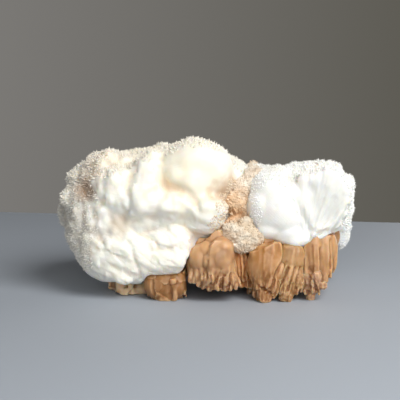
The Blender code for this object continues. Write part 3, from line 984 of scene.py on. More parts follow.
SHEAF_SWELLINGS = {
    "stilbite_left_sliver": [
        (124, 287, 7, 5, 3.6, 3.9), (131, 287, 6, 5, 4.4, 3.7), (126, 287.5, 5, 5, 4.0, 3.7),
        (138, 290, 6, 5, 4, 3.9),
    ],
    "stilbite_left_foot": [(163, 287, 10, 6, 8, 5.0), (174, 286, 6, 5, 7, 4.4)],
    "stilbite_centre_sheaf": [
        (220, 258, 7.4, 7, 7.8, 5.5), (223, 249, 5.6, 6, 5.0, 4.6), (212, 262, 4.6, 5, 5.4, 4.0),
        (200, 259, 5.4, 6, 6.6, 4.6), (194, 266, 3.6, 5, 5.6, 3.9), (206, 252, 4.2, 5, 4.6, 3.9),
        (210, 280, 5, 4, 4, 3.7), (231, 281, 3.4, 4, 4.4, 3.6),
    ],
    "stilbite_middle_blades": [(242, 266, 2.6, 3, 9, 2.4), (251, 264, 2.2, 3, 9, 2.2)],
    "stilbite_foot_sheaf": [
        (267, 268, 9.5, 7, 11, 5.9), (270, 280, 5, 5, 8, 4.4),
    ],
    "stilbite_khaki_sheaf": [(292, 259, 7.4, 6, 8, 5.2), (291, 274, 4.4, 4, 9, 3.5)],
    "stilbite_right_columns": [
        (316, 254, 4.4, 4, 10.0, 3.2), (325, 254, 4.2, 4, 10.0, 3.2), (310, 250, 3, 4, 7, 3.3),
        (332, 250, 3, 4, 8, 3.3),
    ],
}
# Grooves pressed into a sheaf: depth, width, then the line
SHEAF_GROOVES = {
    "stilbite_left_foot": [
        (0.5, 0.8, [(152.5, 281), (152.5, 288), (154.5, 294)]),
        (0.4, 1.6, [(177, 283), (172, 291), (170, 299)]),
    ],
    "stilbite_centre_sheaf": [
        (0.7, 1.2, [(207, 262), (206, 270), (207, 278)]),
        (0.35, 1.3, [(209, 271), (214, 273.5), (221, 274.5), (227, 272)]),
        (0.9, 0.7, [(218, 277), (215, 283), (212, 289)]),
        (1.5, 1.1, [(224, 276), (222, 282), (220.5, 289)]),
        (0.8, 0.7, [(210, 276), (211, 282), (210.5, 289)]),
        (0.9, 0.8, [(231, 274), (229.5, 280), (228.5, 287)]),
        (0.7, 0.9, [(198, 270), (198, 277), (197, 284)]), (0.4, 1.3, [(209, 248), (207, 254), (207, 260)]),
        (0.7, 0.7, [(203, 274), (202.5, 281), (201.5, 288)]),
    ],
    "stilbite_middle_blades": [
        (0.7, 0.7, [(239.5, 258), (240, 270), (240.5, 284)]),
        (0.9, 0.7, [(244.5, 256), (245, 270), (245.5, 286)]),
        (0.8, 0.7, [(248.5, 256), (249, 270), (249.5, 286)]),
        (1.0, 1.4, [(238, 249), (246, 250), (254, 249)]),
    ],
    "stilbite_foot_sheaf": [
        (1.3, 1.2, [(285, 252), (283, 262), (277, 273), (271, 289)]),
        (0.25, 1.1, [(262, 250), (262, 266), (263, 280)]),
        (0.25, 1.0, [(270, 250), (269, 268), (268, 284)]), (0.9, 1.0, [(258, 286), (264, 289), (270, 293)]),
        (0.2, 0.9, [(266, 256), (266, 270)]),
    ],
    "stilbite_khaki_sheaf": [
        (0.25, 0.9, [(291, 252), (288, 268)]), (1.1, 0.9, [(288, 268), (283, 279), (276, 292)]),
        (0.5, 0.9, [(286, 262), (282, 269), (278, 277)]),
        (0.25, 0.9, [(297, 250), (295, 268)]), (0.8, 0.7, [(295, 268), (291, 279), (288, 290)]),
        (0.8, 0.7, [(300, 268), (298, 277), (295, 288)]),
        (1.5, 0.9, [(305, 260), (305.5, 268), (305, 281)]),
    ],
    "stilbite_right_columns": [
        (0.5, 0.7, [(312, 246), (312.5, 256), (313, 270)]),
        (0.8, 0.7, [(320.6, 248), (320.8, 260), (321, 276)]),
        (0.7, 0.7, [(330.5, 240), (331, 252), (331, 268)]),
        (0.7, 1.0, [(309, 268), (312, 273), (318, 277)]),
        (0.3, 0.7, [(316, 246), (316.5, 262)]), (0.3, 0.7, [(326, 246), (326, 258), (327, 272)]),
    ],
    "stilbite_small_cluster": [(1.2, 1.1, [(313, 282), (315, 287), (317, 291)])],
}
# The lean of each sheaf's lines in the front plane, in degrees
SHEAF_LEAN = {"stilbite_khaki_sheaf": 16, "stilbite_foot_sheaf": 5, "stilbite_small_cluster": -22}

# %% [markdown]
# The solids have plain upright sides. On the real piece these are more sheaves, seen from the side: from
# one root high up, five to eight blades spread like a half-opened fan, and each ends at its own height.
# Short blades point down from the underside.

# %% Sides and underside
def spot_on(piece, face, rng):
    """A random spot on a triangle of the piece."""
    corners = [piece.data.vertices[index].co for index in face.vertices]
    return corners[0].lerp(corners[1], rng.random()).lerp(corners[2], rng.random())


def sheaves_around(piece, count, seed, size=1.0):
    """Small sheaves that stand against the sides and the back, each fanned out from one root."""
    rng = random.Random(seed)
    heights = [vertex.co.z for vertex in piece.data.vertices]
    low, high = min(heights), max(heights)
    made = []
    for face in some_faces(piece, rng, count, lambda place, normal: abs(normal.z) < 0.6 and normal.y > -0.5):
        spot = spot_on(piece, face, rng)
        out = Vector((face.normal.x, face.normal.y, 0)).normalized()
        side = Vector((-out.y, out.x, 0))
        root = Vector((spot.x, spot.y, high + rng.uniform(-5, 2) * MM)) - out * rng.uniform(1.5, 3.5) * MM
        turn = math.degrees(math.atan2(out.x, -out.y))
        proud = rng.uniform(0.0, 2.2) * MM * size
        knot = root - out * 2 * MM - Vector((0, 0, 6 * MM))
        made.append(ball(knot, (3.6 * size, 3.6 * size, 6 * size), detail=3))
        for step in range(rng.randint(5, 8)):
            spread = (step - 3) * rng.uniform(1.5, 2.3) * MM * size
            foot = max(low + rng.uniform(-0.5, 7.0) * MM * size + abs(spread) * 0.4, 0.3 * MM)
            tip = Vector((spot.x, spot.y, foot)) + side * spread + out * (proud - abs(spread) * 0.25)
            wide, thick = rng.uniform(2.4, 4.4) * size, rng.uniform(2.2, 3.6) * size
            own_turn, slant = turn + rng.uniform(-25, 25), rng.uniform(-0.9, 0.9)
            made.append(lay_blade(root, tip, wide, thick, own_turn, slant))
    return made


def blades_under(piece, count, seed):
    """Short blades that point down from the underside."""
    rng = random.Random(seed)
    made = []
    for face in some_faces(piece, rng, count, lambda place, normal: normal.z < -0.4):
        spot = spot_on(piece, face, rng)
        lean = Vector((rng.uniform(-0.25, 0.25), rng.uniform(-0.25, 0.25), -1)).normalized()
        tip = spot + lean * rng.uniform(-0.2, 1.8) * MM
        tip.z = max(tip.z, 0.2 * MM)
        root = tip - lean * (rng.uniform(7, 12) * MM)
        wide, thick = rng.uniform(2.5, 5), rng.uniform(2, 3.5)
        made.append(lay_blade(root, tip, wide, thick, rng.uniform(-90, 90)))
    return made


def root_of(piece, rise, back):
    """A copy of the core set higher and further back, which reaches up into the white mass."""
    made = new_object("root", piece.data.copy())
    made.data.transform(Matrix.Translation((0, back * MM, rise * MM)))
    return made


def stand_on_table(piece):
    """Presses flat what would reach below the table."""
    for vertex in piece.data.vertices:
        vertex.co.z = max(vertex.co.z, 0.0)


print("blades wanted from the photograph:", sum(len(rows) for rows in SHEAF_BLADES.values()))

# %% [markdown]
# Each sheaf is put together in the same way: the blades that the photograph shows, sheaves around the
# sides, short blades underneath, and a root that reaches up into the white mass. All are melted into one
# skin. Grooves and lines follow, and the upper part, where the blades are grown together, is softened
# again. The two sheaves on the left are worn to blunt faces; the others end in uneven tips.

# %% Sheaves
def near_table(place, normal):
    """1 near the tips, fading out upwards."""
    return 1 - ramp(place.z, 9, 19)


def lower_part(place, normal):
    """The same from higher up, and a little everywhere."""
    return max(0.25, 1 - ramp(place.z, 14, 24))


def upper_part(place, normal):
    """1 where the blades are grown together."""
    return ramp(place.z, 13, 20)


# These two end under the white mass's rim and need no root above them
ROOTLESS = ("stilbite_right_columns", "stilbite_small_cluster")
ROOT_RISE, ROOT_BACK, BLADE_ROOT_BACK = 4.0, 6.0, 2.2
# First for a sheaf that the photograph shows, then for one that stands behind
SIDE_SHEAVES, BLADES_UNDER, VOXEL = (7, 20), (22, 70), (0.4, 0.48)
SIDE_SEED, UNDER_SEED = 60, 40
# A solid lower than this in millimetres gets smaller sheaves around it
LOW_SOLID, SMALL = 16, 0.6
LINE_HEIGHT, WORN_LINE_HEIGHT = 0.26, 0.05
sheaves = {}
for number, (node, rows) in enumerate(SHEAF_BLADES.items()):
    piece = core_of(node, node.replace("stilbite_", "sheaf_"), 0.2)
    parts = lumps_on(piece, SHEAF_SWELLINGS.get(node, []))
    for px, py, tip_px, tip_py, depth, wide, thick, turn, slant in rows:
        root, tip = in_plane(px, py, depth + BLADE_ROOT_BACK), in_plane(tip_px, tip_py, depth)
        tip.z = max(tip.z, 0.1 * MM)
        parts.append(lay_blade(root, tip, wide, thick, turn, slant))
    behind, worn = "back" in node, "left" in node
    small = SMALL if piece.dimensions.z < LOW_SOLID * MM else 1.0
    parts += sheaves_around(piece, SIDE_SHEAVES[behind], SIDE_SEED + number, small)
    parts += blades_under(piece, BLADES_UNDER[behind], UNDER_SEED + number)
    if node not in ROOTLESS:
        parts.append(root_of(piece, ROOT_RISE, ROOT_BACK))
    piece = join(piece.name, [piece] + parts)
    melt(piece, VOXEL[behind], 1)
    press_all(piece, SHEAF_GROOVES.get(node, []))
    soften(piece, 2)
    lean = (0, SHEAF_LEAN.get(node, 0), 0)
    line_height = WORN_LINE_HEIGHT if worn else LINE_HEIGHT
    carve(piece, "blade lines", strokes((0.9, 1.3, 9), line_height, lean), weigh(piece, "lines", lower_part))
    carve(piece, "wavy faces", strokes((4, 4, 12), 0.45, lean, 1.0))
    if worn:
        carve(piece, "worn faces", facets((14, 11, 13), 0.5))
    else:
        weigh(piece, "ends", near_table)
        carve(piece, "uneven ends", strokes((2.4, 2.4, 3.5), 0.8, lean, 1.0), "ends")
        carve(piece, "split ends", strokes((0.9, 1.2, 5), 0.42, lean), "ends")
    soften(piece, 8, weigh(piece, "upper", upper_part))
    stand_on_table(piece)
    sheaves[node] = piece
    print(piece.name, len(parts), "parts,", len(piece.data.polygons), "faces")
bpy.data.objects.remove(blade, do_unlink=True)

# %% [markdown]
# ## Grooves and rims
# Both finishes paint shade into the grooves, darkening them, and paint a highlight on the thin rims,
# lightening them, so both need to know where a groove is. A Geometry Nodes modifier compares each point with
# the average of its neighbourhood: a point that lies under it is in a groove. The difference is kept as the
# attribute "hollow", in millimetres.

# %% Grooves and rims
def mark_hollows(piece, reach):
    """Stores how far each point lies under (above 0) or over (below 0) the smoothed surface."""
    group, mesh, leave = new_group("mark hollows")
    place = place_in(group)
    blur = make_node(group, "GeometryNodeBlurAttribute", {"Iterations": reach}, data_type="FLOAT_VECTOR")
    blur_in = next(socket for socket in blur.inputs if socket.enabled and socket.type == "VECTOR")
    group.links.new(place, blur_in)
    blurred = next(socket for socket in blur.outputs if socket.enabled)
    gap = vector_maths(group, "SUBTRACT", blurred, place).outputs[0]
    normal = make_node(group, "GeometryNodeInputNormal").outputs[0]
    along = vector_maths(group, "DOT_PRODUCT", gap, normal).outputs["Value"]
    values = {"Geometry": mesh, "Name": "hollow", "Value": maths(group, "MULTIPLY", along, 1 / MM)}
    keep = make_node(group, "GeometryNodeStoreNamedAttribute", values, data_type="FLOAT", domain="POINT")
    feed(group, leave, {0: keep.outputs[0]})
    apply(piece, "NODES", node_group=group)


# How many steps of the mesh a neighbourhood reaches: far on the big masses, near on narrow blades
HOLLOW_REACH = {left: 40, fan: 40, flap: 30, cleft: 16, **{piece: 14 for piece in sheaves.values()}}
for piece, reach in HOLLOW_REACH.items():
    mark_hollows(piece, reach)
values = sorted(item.value for item in left.data.attributes["hollow"].data)
few = len(values) // 20
print("hollow on the left mass, mm:", round(values[few], 2), "to", round(values[-few], 2))

# %% [markdown]
# ## Sugar
# The outside of the sprays glitters with the ends of the needles: slim four-sided points. One is modelled
# by hand, and Geometry Nodes sets thousands of copies on the surface, each turned and sized at random, and
# makes them real mesh. They stand where the sprays end: on the top, the left flank and the back, but not on
# the broken faces. A stouter kind stands along the ridge, and squat five-sided grains fill the cleft.

# %% One crystal
# How far the widest part of a crystal lies under the surface that carries it
SUNK = 0.28


def crystal_model(name, sides, half, height, point):
    """A slim crystal with a point at both ends, the lower one sunk into what carries it."""
    bpy.ops.object.select_all(action="DESELECT")
    bpy.ops.mesh.primitive_cone_add(
        vertices=sides, radius1=half * MM, radius2=0, depth=height * MM, end_fill_type="NOTHING",
        location=(0, 0, height / 2 * MM),
    )
    model = bpy.context.object
    model.name = name
    bpy.ops.object.mode_set(mode="EDIT")
    bpy.ops.mesh.select_all(action="DESELECT")
    bpy.ops.mesh.select_mode(type="EDGE")
    bpy.ops.mesh.select_non_manifold()
    bpy.ops.mesh.extrude_region_move(TRANSFORM_OT_translate={"value": (0, 0, -point * MM)})
    bpy.ops.mesh.merge(type="CENTER")
    bpy.ops.mesh.select_all(action="SELECT")
    bpy.ops.mesh.normals_make_consistent(inside=False)
    bpy.ops.object.mode_set(mode="OBJECT")
    model.data.transform(model.matrix_world)
    model.matrix_world = Matrix()
    model.data.transform(Matrix.Translation((0, 0, -SUNK * MM)))
    model.hide_render = True
    print(name, "crystal:", len(model.data.polygons), "faces")
    return model


stout = crystal_model("stout", 4, 0.5, 1.3, 0.5)
needle = crystal_model("needle", 4, 0.32, 1.1, 0.4)
grain = crystal_model("grain", 5, 0.6, 0.95, 0.6)

# %% [markdown]
# The crystals stand where a cloudy pattern and the carrier's weight together pass a limit, so that patches
# thin out raggedly. Points are set at least one spacing apart, and each copy leans and turns its own way.

# %% Scattered copies
def scatter(name, carrier, model, weight, spacing, sizes, tilt, seed):
    """Copies of the model on the carrier's surface, as one piece of real mesh."""
    group, mesh, leave = new_group(f"scatter {name}")
    ragged = noise_of(group, stretched(group, place_in(group), (7, 7, 7)), 1.0)
    density = maths(group, "GREATER_THAN", maths(group, "ADD", named_value(group, weight), ragged), 1.0)
    points = make_node(group, "GeometryNodeDistributePointsOnFaces", {
        "Mesh": mesh, "Density Factor": density, "Distance Min": spacing * MM,
        "Density Max": 1.2 / (spacing * MM) ** 2, "Seed": seed,
    }, distribute_method="POISSON")
    least, most = (-tilt, -tilt, -math.pi), (tilt, tilt, math.pi)
    lean = make_node(
        group, "FunctionNodeRandomValue", {0: least, 1: most, "Seed": seed}, data_type="FLOAT_VECTOR")
    turn = make_node(
        group, "FunctionNodeRotateRotation", {0: points.outputs["Rotation"], 1: lean.outputs[0]},
        rotation_space="LOCAL")
    size = make_node(
        group, "FunctionNodeRandomValue", {2: sizes[0], 3: sizes[1], "Seed": seed + 1}, data_type="FLOAT")
    put = make_node(group, "GeometryNodeInstanceOnPoints", {
        "Points": points.outputs["Points"],
        "Instance": make_node(group, "GeometryNodeObjectInfo", {"Object": model}).outputs["Geometry"],
        "Rotation": turn.outputs[0],
        "Scale": size.outputs[1],
    })
    real = make_node(group, "GeometryNodeRealizeInstances", {0: put.outputs[0]})
    feed(group, leave, {0: real.outputs[0]})
    piece = new_object(name, carrier.data.copy())
    apply(piece, "NODES", node_group=group)
    piece.vertex_groups.clear()
    piece.data.materials.clear()
    print(name + ":", len(piece.data.polygons), "faces")
    return piece


print("crystals are sunk by", SUNK, "mm")

# %% [markdown]
# Where the crystals stand is again a matter of weights. Slim ones cover the top, the left flank and the
# back; stouter ones stand among them along the ridge; squat grains line the cleft and crumble over its
# edges.

# %% Sugar
def sugar_front(place, normal):
    """Where crystals stand on the part of the left mass that the front and the top show."""
    if place.y > 4:
        return 0.0
    top = ramp(normal.z, 0.42, 0.8) * ramp(place.z, 52, 60)
    flank = ramp(-place.x, 50, 60) * ramp(place.z, 8, 16)
    grainy = ramp(-place.x, 38, 52) * ramp(place.z, 28, 34) * 0.45
    return max(top, flank, grainy)


def sugar_back(place, normal):
    """The same behind."""
    return 1.0 if place.y > 4 and place.z > 6 and normal.z > -0.8 else 0.0


def sugar_fan(place, normal):
    """The same on the fan: its top, its back and its right side."""
    top = ramp(normal.z, 0.3, 0.7) * ramp(place.z, 50, 58)
    back = ramp(normal.y, -0.1, 0.2)
    side = ramp(normal.x, 0.6, 0.85)
    return max(top, back, side) * ramp(place.z, 26, 30)


def crumbs(ovals, limit):
    """A rule that is 1 inside some ovals, as far back as the limit."""
    return lambda place, normal: max(rule(place) for rule in ovals) if place.y < limit else 0


def left_ridge(place, normal):
    """Along the top of the left mass, in front and behind."""
    return max(sugar_front(place, normal), sugar_back(place, normal)) * ramp(place.z, 42, 50)


left_edge = [oval(228, 203, 6, 7, -26), oval(218, 221, 6, 4, -30), oval(232, 188, 3, 6, -24)]
fan_edge = [oval(257, 178, 5, 6, -24), oval(254, 196, 2.6, 6, -26), oval(256, 214, 3, 6, -28)]
weigh(left, "sugar front", sugar_front)
weigh(left, "sugar back", sugar_back)
weigh(fan, "sugar", sugar_fan)
weigh(left, "crumbs", crumbs(left_edge, -6))
weigh(fan, "crumbs", crumbs(fan_edge, -4))
weigh(flap, "sugar", lambda place, normal: 1.0)
weigh(cleft, "grains", lambda place, normal: 1.0)
weigh(left, "ridge", left_ridge)
weigh(fan, "ridge", lambda place, normal: sugar_fan(place, normal) * ramp(place.z, 46, 54))
# Name, carrier, crystal, weight, spacing in millimetres, least and greatest scale, tilt, seed
SCATTERED = [
    ("left_sugar_front", left, needle, "sugar front", 0.72, (0.6, 1.5), 0.55, 1),
    ("left_sugar_back", left, needle, "sugar back", 0.86, (0.8, 1.6), 0.55, 2),
    ("fan_sugar", fan, needle, "sugar", 0.74, (0.7, 1.7), 0.55, 3),
    ("left_ridge_sugar", left, stout, "ridge", 1.9, (0.9, 1.7), 0.5, 8),
    ("fan_ridge_sugar", fan, stout, "ridge", 1.9, (0.9, 1.6), 0.5, 9),
    ("flap_sugar", flap, needle, "sugar", 0.62, (0.6, 1.4), 0.55, 4),
    ("cleft_grains", cleft, grain, "grains", 0.95, (0.6, 1.6), 0.8, 5),
    ("left_cleft_grains", left, grain, "crumbs", 0.72, (0.5, 1.3), 0.8, 6),
    ("fan_cleft_grains", fan, grain, "crumbs", 0.74, (0.5, 1.2), 0.8, 7),
]
druse = {name: scatter(name, *row) for name, *row in SCATTERED}
for model in (needle, stout, grain):
    bpy.data.objects.remove(model, do_unlink=True)

# %% [markdown]
# ## Finish: scolecite
# Scolecite is a waxy, slightly see-through white. Light sinks in and comes out again a little further on,
# which subsurface scattering does. Its colour isn't even: the dome is cream and the top is stained brownish.
# The groove behind the dome gets painted shade in a warm peach, and the left flank, the lower left and the
# underside of the ledge get painted grey shade. Each stain or painted shade is a soft-edged ball of colour
# at its place on the specimen, from one shared node group.

# %% Shared node groups
def shader_group(name, inputs, outputs):
    """A shader node group with named sockets; the inputs' defaults are vectors or numbers."""
    group = bpy.data.node_groups.new(name, "ShaderNodeTree")
    for label, value in inputs.items():
        kind = "NodeSocketVector" if isinstance(value, tuple) else "NodeSocketFloat"
        group.interface.new_socket(label, in_out="INPUT", socket_type=kind).default_value = value
    for label in outputs:
        group.interface.new_socket(label, in_out="OUTPUT", socket_type="NodeSocketFloat")
    return group, make_node(group, "NodeGroupInput").outputs, make_node(group, "NodeGroupOutput")


def map_range(group, value, low, high, to_low=0.0, to_high=1.0):
    """A value brought from one range to another, with soft ends."""
    values = {"From Min": low, "From Max": high, "To Min": to_low, "To Max": to_high, "Value": value}
    node = make_node(group, "ShaderNodeMapRange", values, interpolation_type="SMOOTHSTEP")
    return node.outputs["Result"]


def object_place(group):
    """The place on the object, in metres."""
    return make_node(group, "ShaderNodeTexCoord").outputs["Object"]


def stain_and_shade_group():
    """1 near a point of the object, 0 beyond the reach, with a ragged edge."""
    group, entry, leave = shader_group("stain", {"Centre": (0, 0, 0), "Reach": 0.01}, ["Mask"])
    place = object_place(group)
    ragged = maths(group, "SUBTRACT", noise_of(group, place, 180.0), 0.5)
    apart = vector_maths(group, "DISTANCE", place, entry["Centre"]).outputs["Value"]
    share = maths(group, "DIVIDE", apart, entry["Reach"])
    share = maths(group, "ADD", share, maths(group, "MULTIPLY", ragged, 0.7))
    feed(group, leave, {"Mask": map_range(group, share, 0.25, 1.0, 1.0, 0.0)})
    return group


def streak_group():
    """A streaky value that radiates from an origin in the front plane, as broken needles do."""
    group, entry, leave = shader_group("streaks", {"Origin": (0, 0, 0), "Across": 40.0}, ["Value"])
    around = polar(group, object_place(group), entry["Origin"], entry["Across"], 120.0)
    feed(group, leave, {"Value": noise_of(group, around, 1.0, 4.0, 0.6)})
    return group


def hollow_shade_and_rim_light_group():
    """How deep a point lies in a groove, and how much it stands out on a rim: masks for painted shade in the
    grooves and a painted highlight on the rims.
    """
    group, entry, leave = shader_group("hollows", {"Depth": 0.5}, ["Groove", "Rim"])
    hollow = make_node(group, "ShaderNodeAttribute", attribute_name="hollow").outputs["Fac"]
    share = maths(group, "DIVIDE", hollow, entry["Depth"])
    feed(group, leave, {
        "Groove": map_range(group, share, 0.0, 1.0), "Rim": map_range(group, share, 0.0, -1.0),
    })
    return group


STAIN_AND_SHADE, STREAKS, HOLLOW_SHADE_AND_RIM_LIGHT = stain_and_shade_group(), streak_group(), hollow_shade_and_rim_light_group()
print("shared groups:", ", ".join(group.name for group in (STAIN_AND_SHADE, STREAKS, HOLLOW_SHADE_AND_RIM_LIGHT)))

# %% [markdown]
# Every finish starts from one colour and lays others over it, each through a mask.

# %% Colour over colour
def placed(tree, group, **values):
    """The outputs of a node group in a material, with its inputs set."""
    return make_node(tree, "ShaderNodeGroup", values, node_tree=group).outputs


def mixed(tree, mask, first, second):
    """Mixes two colours by a mask; each is a socket or a colour."""
    first, second = ((*value, 1) if isinstance(value, tuple) else value for value in (first, second))
    return make_node(tree, "ShaderNodeMix", {6: first, 7: second, 0: mask}, data_type="RGBA").outputs[2]


def laid_over(tree, colour, mask, share, tone):
    """The tone over the colour where the mask is, and at most by this share."""
    return mixed(tree, maths(tree, "MULTIPLY", mask, share), colour, tone)


def stained_and_shaded(tree, colour, stains_and_shade):
    """The colour with stains and painted shade over it: centre, reach in millimetres, tone and share of each.
    """
    for centre, reach, tone, share in stains_and_shade:
        mask = placed(tree, STAIN_AND_SHADE, Centre=centre, Reach=reach * MM)["Mask"]
        colour = laid_over(tree, colour, mask, share, tone)
    return colour


def bumped(tree, height, strength, distance, **before):
    """A bump from a height, over an earlier one if there is one; the distance is in millimetres."""
    values = {"Strength": strength, "Distance": distance * MM, "Height": height, **before}
    return make_node(tree, "ShaderNodeBump", values).outputs["Normal"]


print("stains fade out over 0.25 to 1 of their reach")

# %% [markdown]
# The stains are listed by place: cream on the dome, painted peach shade behind it, brown in the pit at the
# upper left, painted grey shade on the left flank. The silky streaks spread from a point at the upper left of
# the left mass, and from the foot of the fan.

# %% Scolecite
WHITE = (0.915, 0.90, 0.83)
CLEAR_WHITE = (0.93, 0.93, 0.895)
CREAM = (0.91, 0.845, 0.70)
# Peach is painted warm shade, where light glows through into the grooves
PEACH_SHADE = (0.80, 0.58, 0.38)
BROWN = (0.42, 0.27, 0.17)
# Grey is painted shade
GREY_SHADE = (0.62, 0.59, 0.53)


def scolecite(name, stains_and_shade, origin, groove=PEACH_SHADE, base=WHITE):
    """Waxy white with stains and painted shade, and painted shade in its grooves in the groove tone; silky
    bumps radiate from the origin.
    """
    skin, tree, shader = new_skin(name)
    place = object_place(tree)
    cloudy = map_range(tree, noise_of(tree, place, 95.0, 4.0), 0.35, 0.7)
    colour = stained_and_shaded(tree, laid_over(tree, base, cloudy, 0.3, CREAM), stains_and_shade)
    # Painted shade: the groove tone darkens the skin where it lies in a groove
    colour = laid_over(tree, colour, placed(tree, HOLLOW_SHADE_AND_RIM_LIGHT, Depth=1.6)["Groove"], 0.4, groove)
    streaks = placed(tree, STREAKS, Origin=origin, Across=70.0)["Value"]
    silk = bumped(tree, streaks, 0.35, 0.3)
    feed(tree, shader, {
        "Base Color": colour,
        "Normal": bumped(tree, noise_of(tree, place, 1500.0, 3.0), 0.25, 0.12, Normal=silk),
        "Roughness": map_range(tree, streaks, 0.3, 0.7, 0.38, 0.55),
        "Subsurface Weight": 0.7,
        "Subsurface Radius": (1.0, 0.8, 0.55),
        "Subsurface Scale": 3.4 * MM,
        "Sheen Weight": 0.08,
    })
    return skin


def at_millimetres(rows):
    """Stains whose centres are listed in millimetres."""
    return [(Vector(centre) * MM, *rest) for centre, *rest in rows]


LEFT_STAINS_AND_SHADE = at_millimetres([
    ((-7, -30, 60), 26, CREAM, 0.9),
    # Painted warm shade: peach in the grooves around the dome's foot
    ((-14, -28, 53), 9, PEACH_SHADE, 0.45),
    ((8, -22, 52), 12, PEACH_SHADE, 0.55),
    ((-1, -30, 51), 7, PEACH_SHADE, 0.45),
    ((-30, -10, 74), 34, CREAM, 0.6),
    ((-56, -20, 62), 19, (0.74, 0.63, 0.50), 0.7),
    ((-58.5, -26, 53.5), 9, BROWN, 1.0),
    # Painted shade: grey on the left flank, at the lower left and under the ledge
    ((-66, -12, 38), 27, GREY_SHADE, 0.95),
    ((-52, -24, 28), 20, GREY_SHADE, 0.35),
    ((-20, -36, 40), 10, GREY_SHADE, 0.25),
    ((-42, -32, 38), 7, (0.66, 0.54, 0.40), 0.6),
    ((12, -26, 50), 15, (0.62, 0.45, 0.31), 0.9),
    ((-30, 20, 40), 60, (0.80, 0.74, 0.62), 0.35),
])
FAN_STAINS_AND_SHADE = at_millimetres([
    ((36, -30, 44), 16, (0.92, 0.92, 0.90), 0.9),
    # Painted shade: grey over the split face of the fan, which lies a little in shade
    ((57, -30, 48), 22, (0.70, 0.71, 0.68), 0.75),
    ((24, -18, 52), 12, CREAM, 0.5),
    ((45, 20, 40), 40, (0.80, 0.75, 0.64), 0.35),
])
LEFT_ORIGIN = in_plane(70, 190, -32)
# The groove tones of the fan and the flap are painted shade in their grooves
FAN_GROOVE_SHADE, FLAP_GROOVE_SHADE, FLAP_WHITE = (0.70, 0.68, 0.62), (0.66, 0.70, 0.74), (0.78, 0.82, 0.84)
left.data.materials.append(scolecite("left scolecite", LEFT_STAINS_AND_SHADE, LEFT_ORIGIN))
fan.data.materials.append(scolecite("fan scolecite", FAN_STAINS_AND_SHADE, FAN_ORIGIN, FAN_GROOVE_SHADE, CLEAR_WHITE))
flap.data.materials.append(scolecite("flap scolecite", [], FAN_ORIGIN, FLAP_GROOVE_SHADE, FLAP_WHITE))
print("stains:", len(LEFT_STAINS_AND_SHADE), "on the left,", len(FAN_STAINS_AND_SHADE), "on the fan")

# %% [markdown]
# The small crystals are clearer than the mass under them and have glossy faces. They share its stains and
# its painted shade, but weaker. The cleft's crust is cream above and below, honey in its narrow middle and on
# its left side.

# %% Sugar and grains
def glitter(name, tone, other, rough, stains_and_shade=()):
    """Small crystals: each clump a little different in tone, with glossy faces."""
    skin, tree, shader = new_skin(name)
    place = object_place(tree)
    clumps = map_range(tree, noise_of(tree, place, 260.0, 3.0), 0.35, 0.65)
    gloss = noise_of(tree, place, 900.0, 2.0)
    feed(tree, shader, {
        "Base Color": stained_and_shaded(tree, mixed(tree, clumps, tone, other), stains_and_shade),
        "Roughness": map_range(tree, gloss, 0.3, 0.7, rough, rough * 2.5),
    })
    return skin


# The left mass's stains and painted shade, weaker on the sugar
STAIN_AND_SHADE_ON_SUGAR = 0.55
ON_SUGAR = [(*row, share * STAIN_AND_SHADE_ON_SUGAR) for *row, share in LEFT_STAINS_AND_SHADE]
sugar_skin = glitter("sugar", (0.92, 0.89, 0.82), (0.86, 0.82, 0.74), 0.3, ON_SUGAR)
white_sugar_skin = glitter("white sugar", (0.94, 0.94, 0.92), (0.90, 0.90, 0.87), 0.3)
HONEY = (0.66, 0.36, 0.16)
CLEFT_STAINS = [
    (in_plane(231, 203, -22), 13, (0.72, 0.46, 0.25), 0.8),
    (in_plane(235, 216, -20), 9, HONEY, 0.7),
    (in_plane(222, 223, -24), 8, HONEY, 0.7),
    (in_plane(242, 212, -22), 7, HONEY, 0.6),
    (in_plane(242, 180, -14), 15, (0.88, 0.80, 0.70), 0.85),
    (in_plane(248, 231, -26), 13, (0.62, 0.52, 0.38), 0.6),
]
CLEFT_LIGHT, CLEFT_DARK = (0.74, 0.66, 0.55), (0.60, 0.46, 0.33)
honey_skin = glitter("honey grains", CLEFT_LIGHT, CLEFT_DARK, 0.14, CLEFT_STAINS)
cream_skin = glitter("cream grains", (0.82, 0.72, 0.58), (0.76, 0.61, 0.44), 0.14)
for name, piece in druse.items():
    kind = sugar_skin if name.startswith("left") else white_sugar_skin
    if name == "cleft_grains":
        kind = honey_skin
    elif name == "left_cleft_grains":
        kind = cream_skin
    piece.data.materials.append(kind)
cleft.data.materials.append(glitter("honey crust", CLEFT_LIGHT, CLEFT_DARK, 0.3, CLEFT_STAINS))
print("pieces of small crystals:", len(druse))
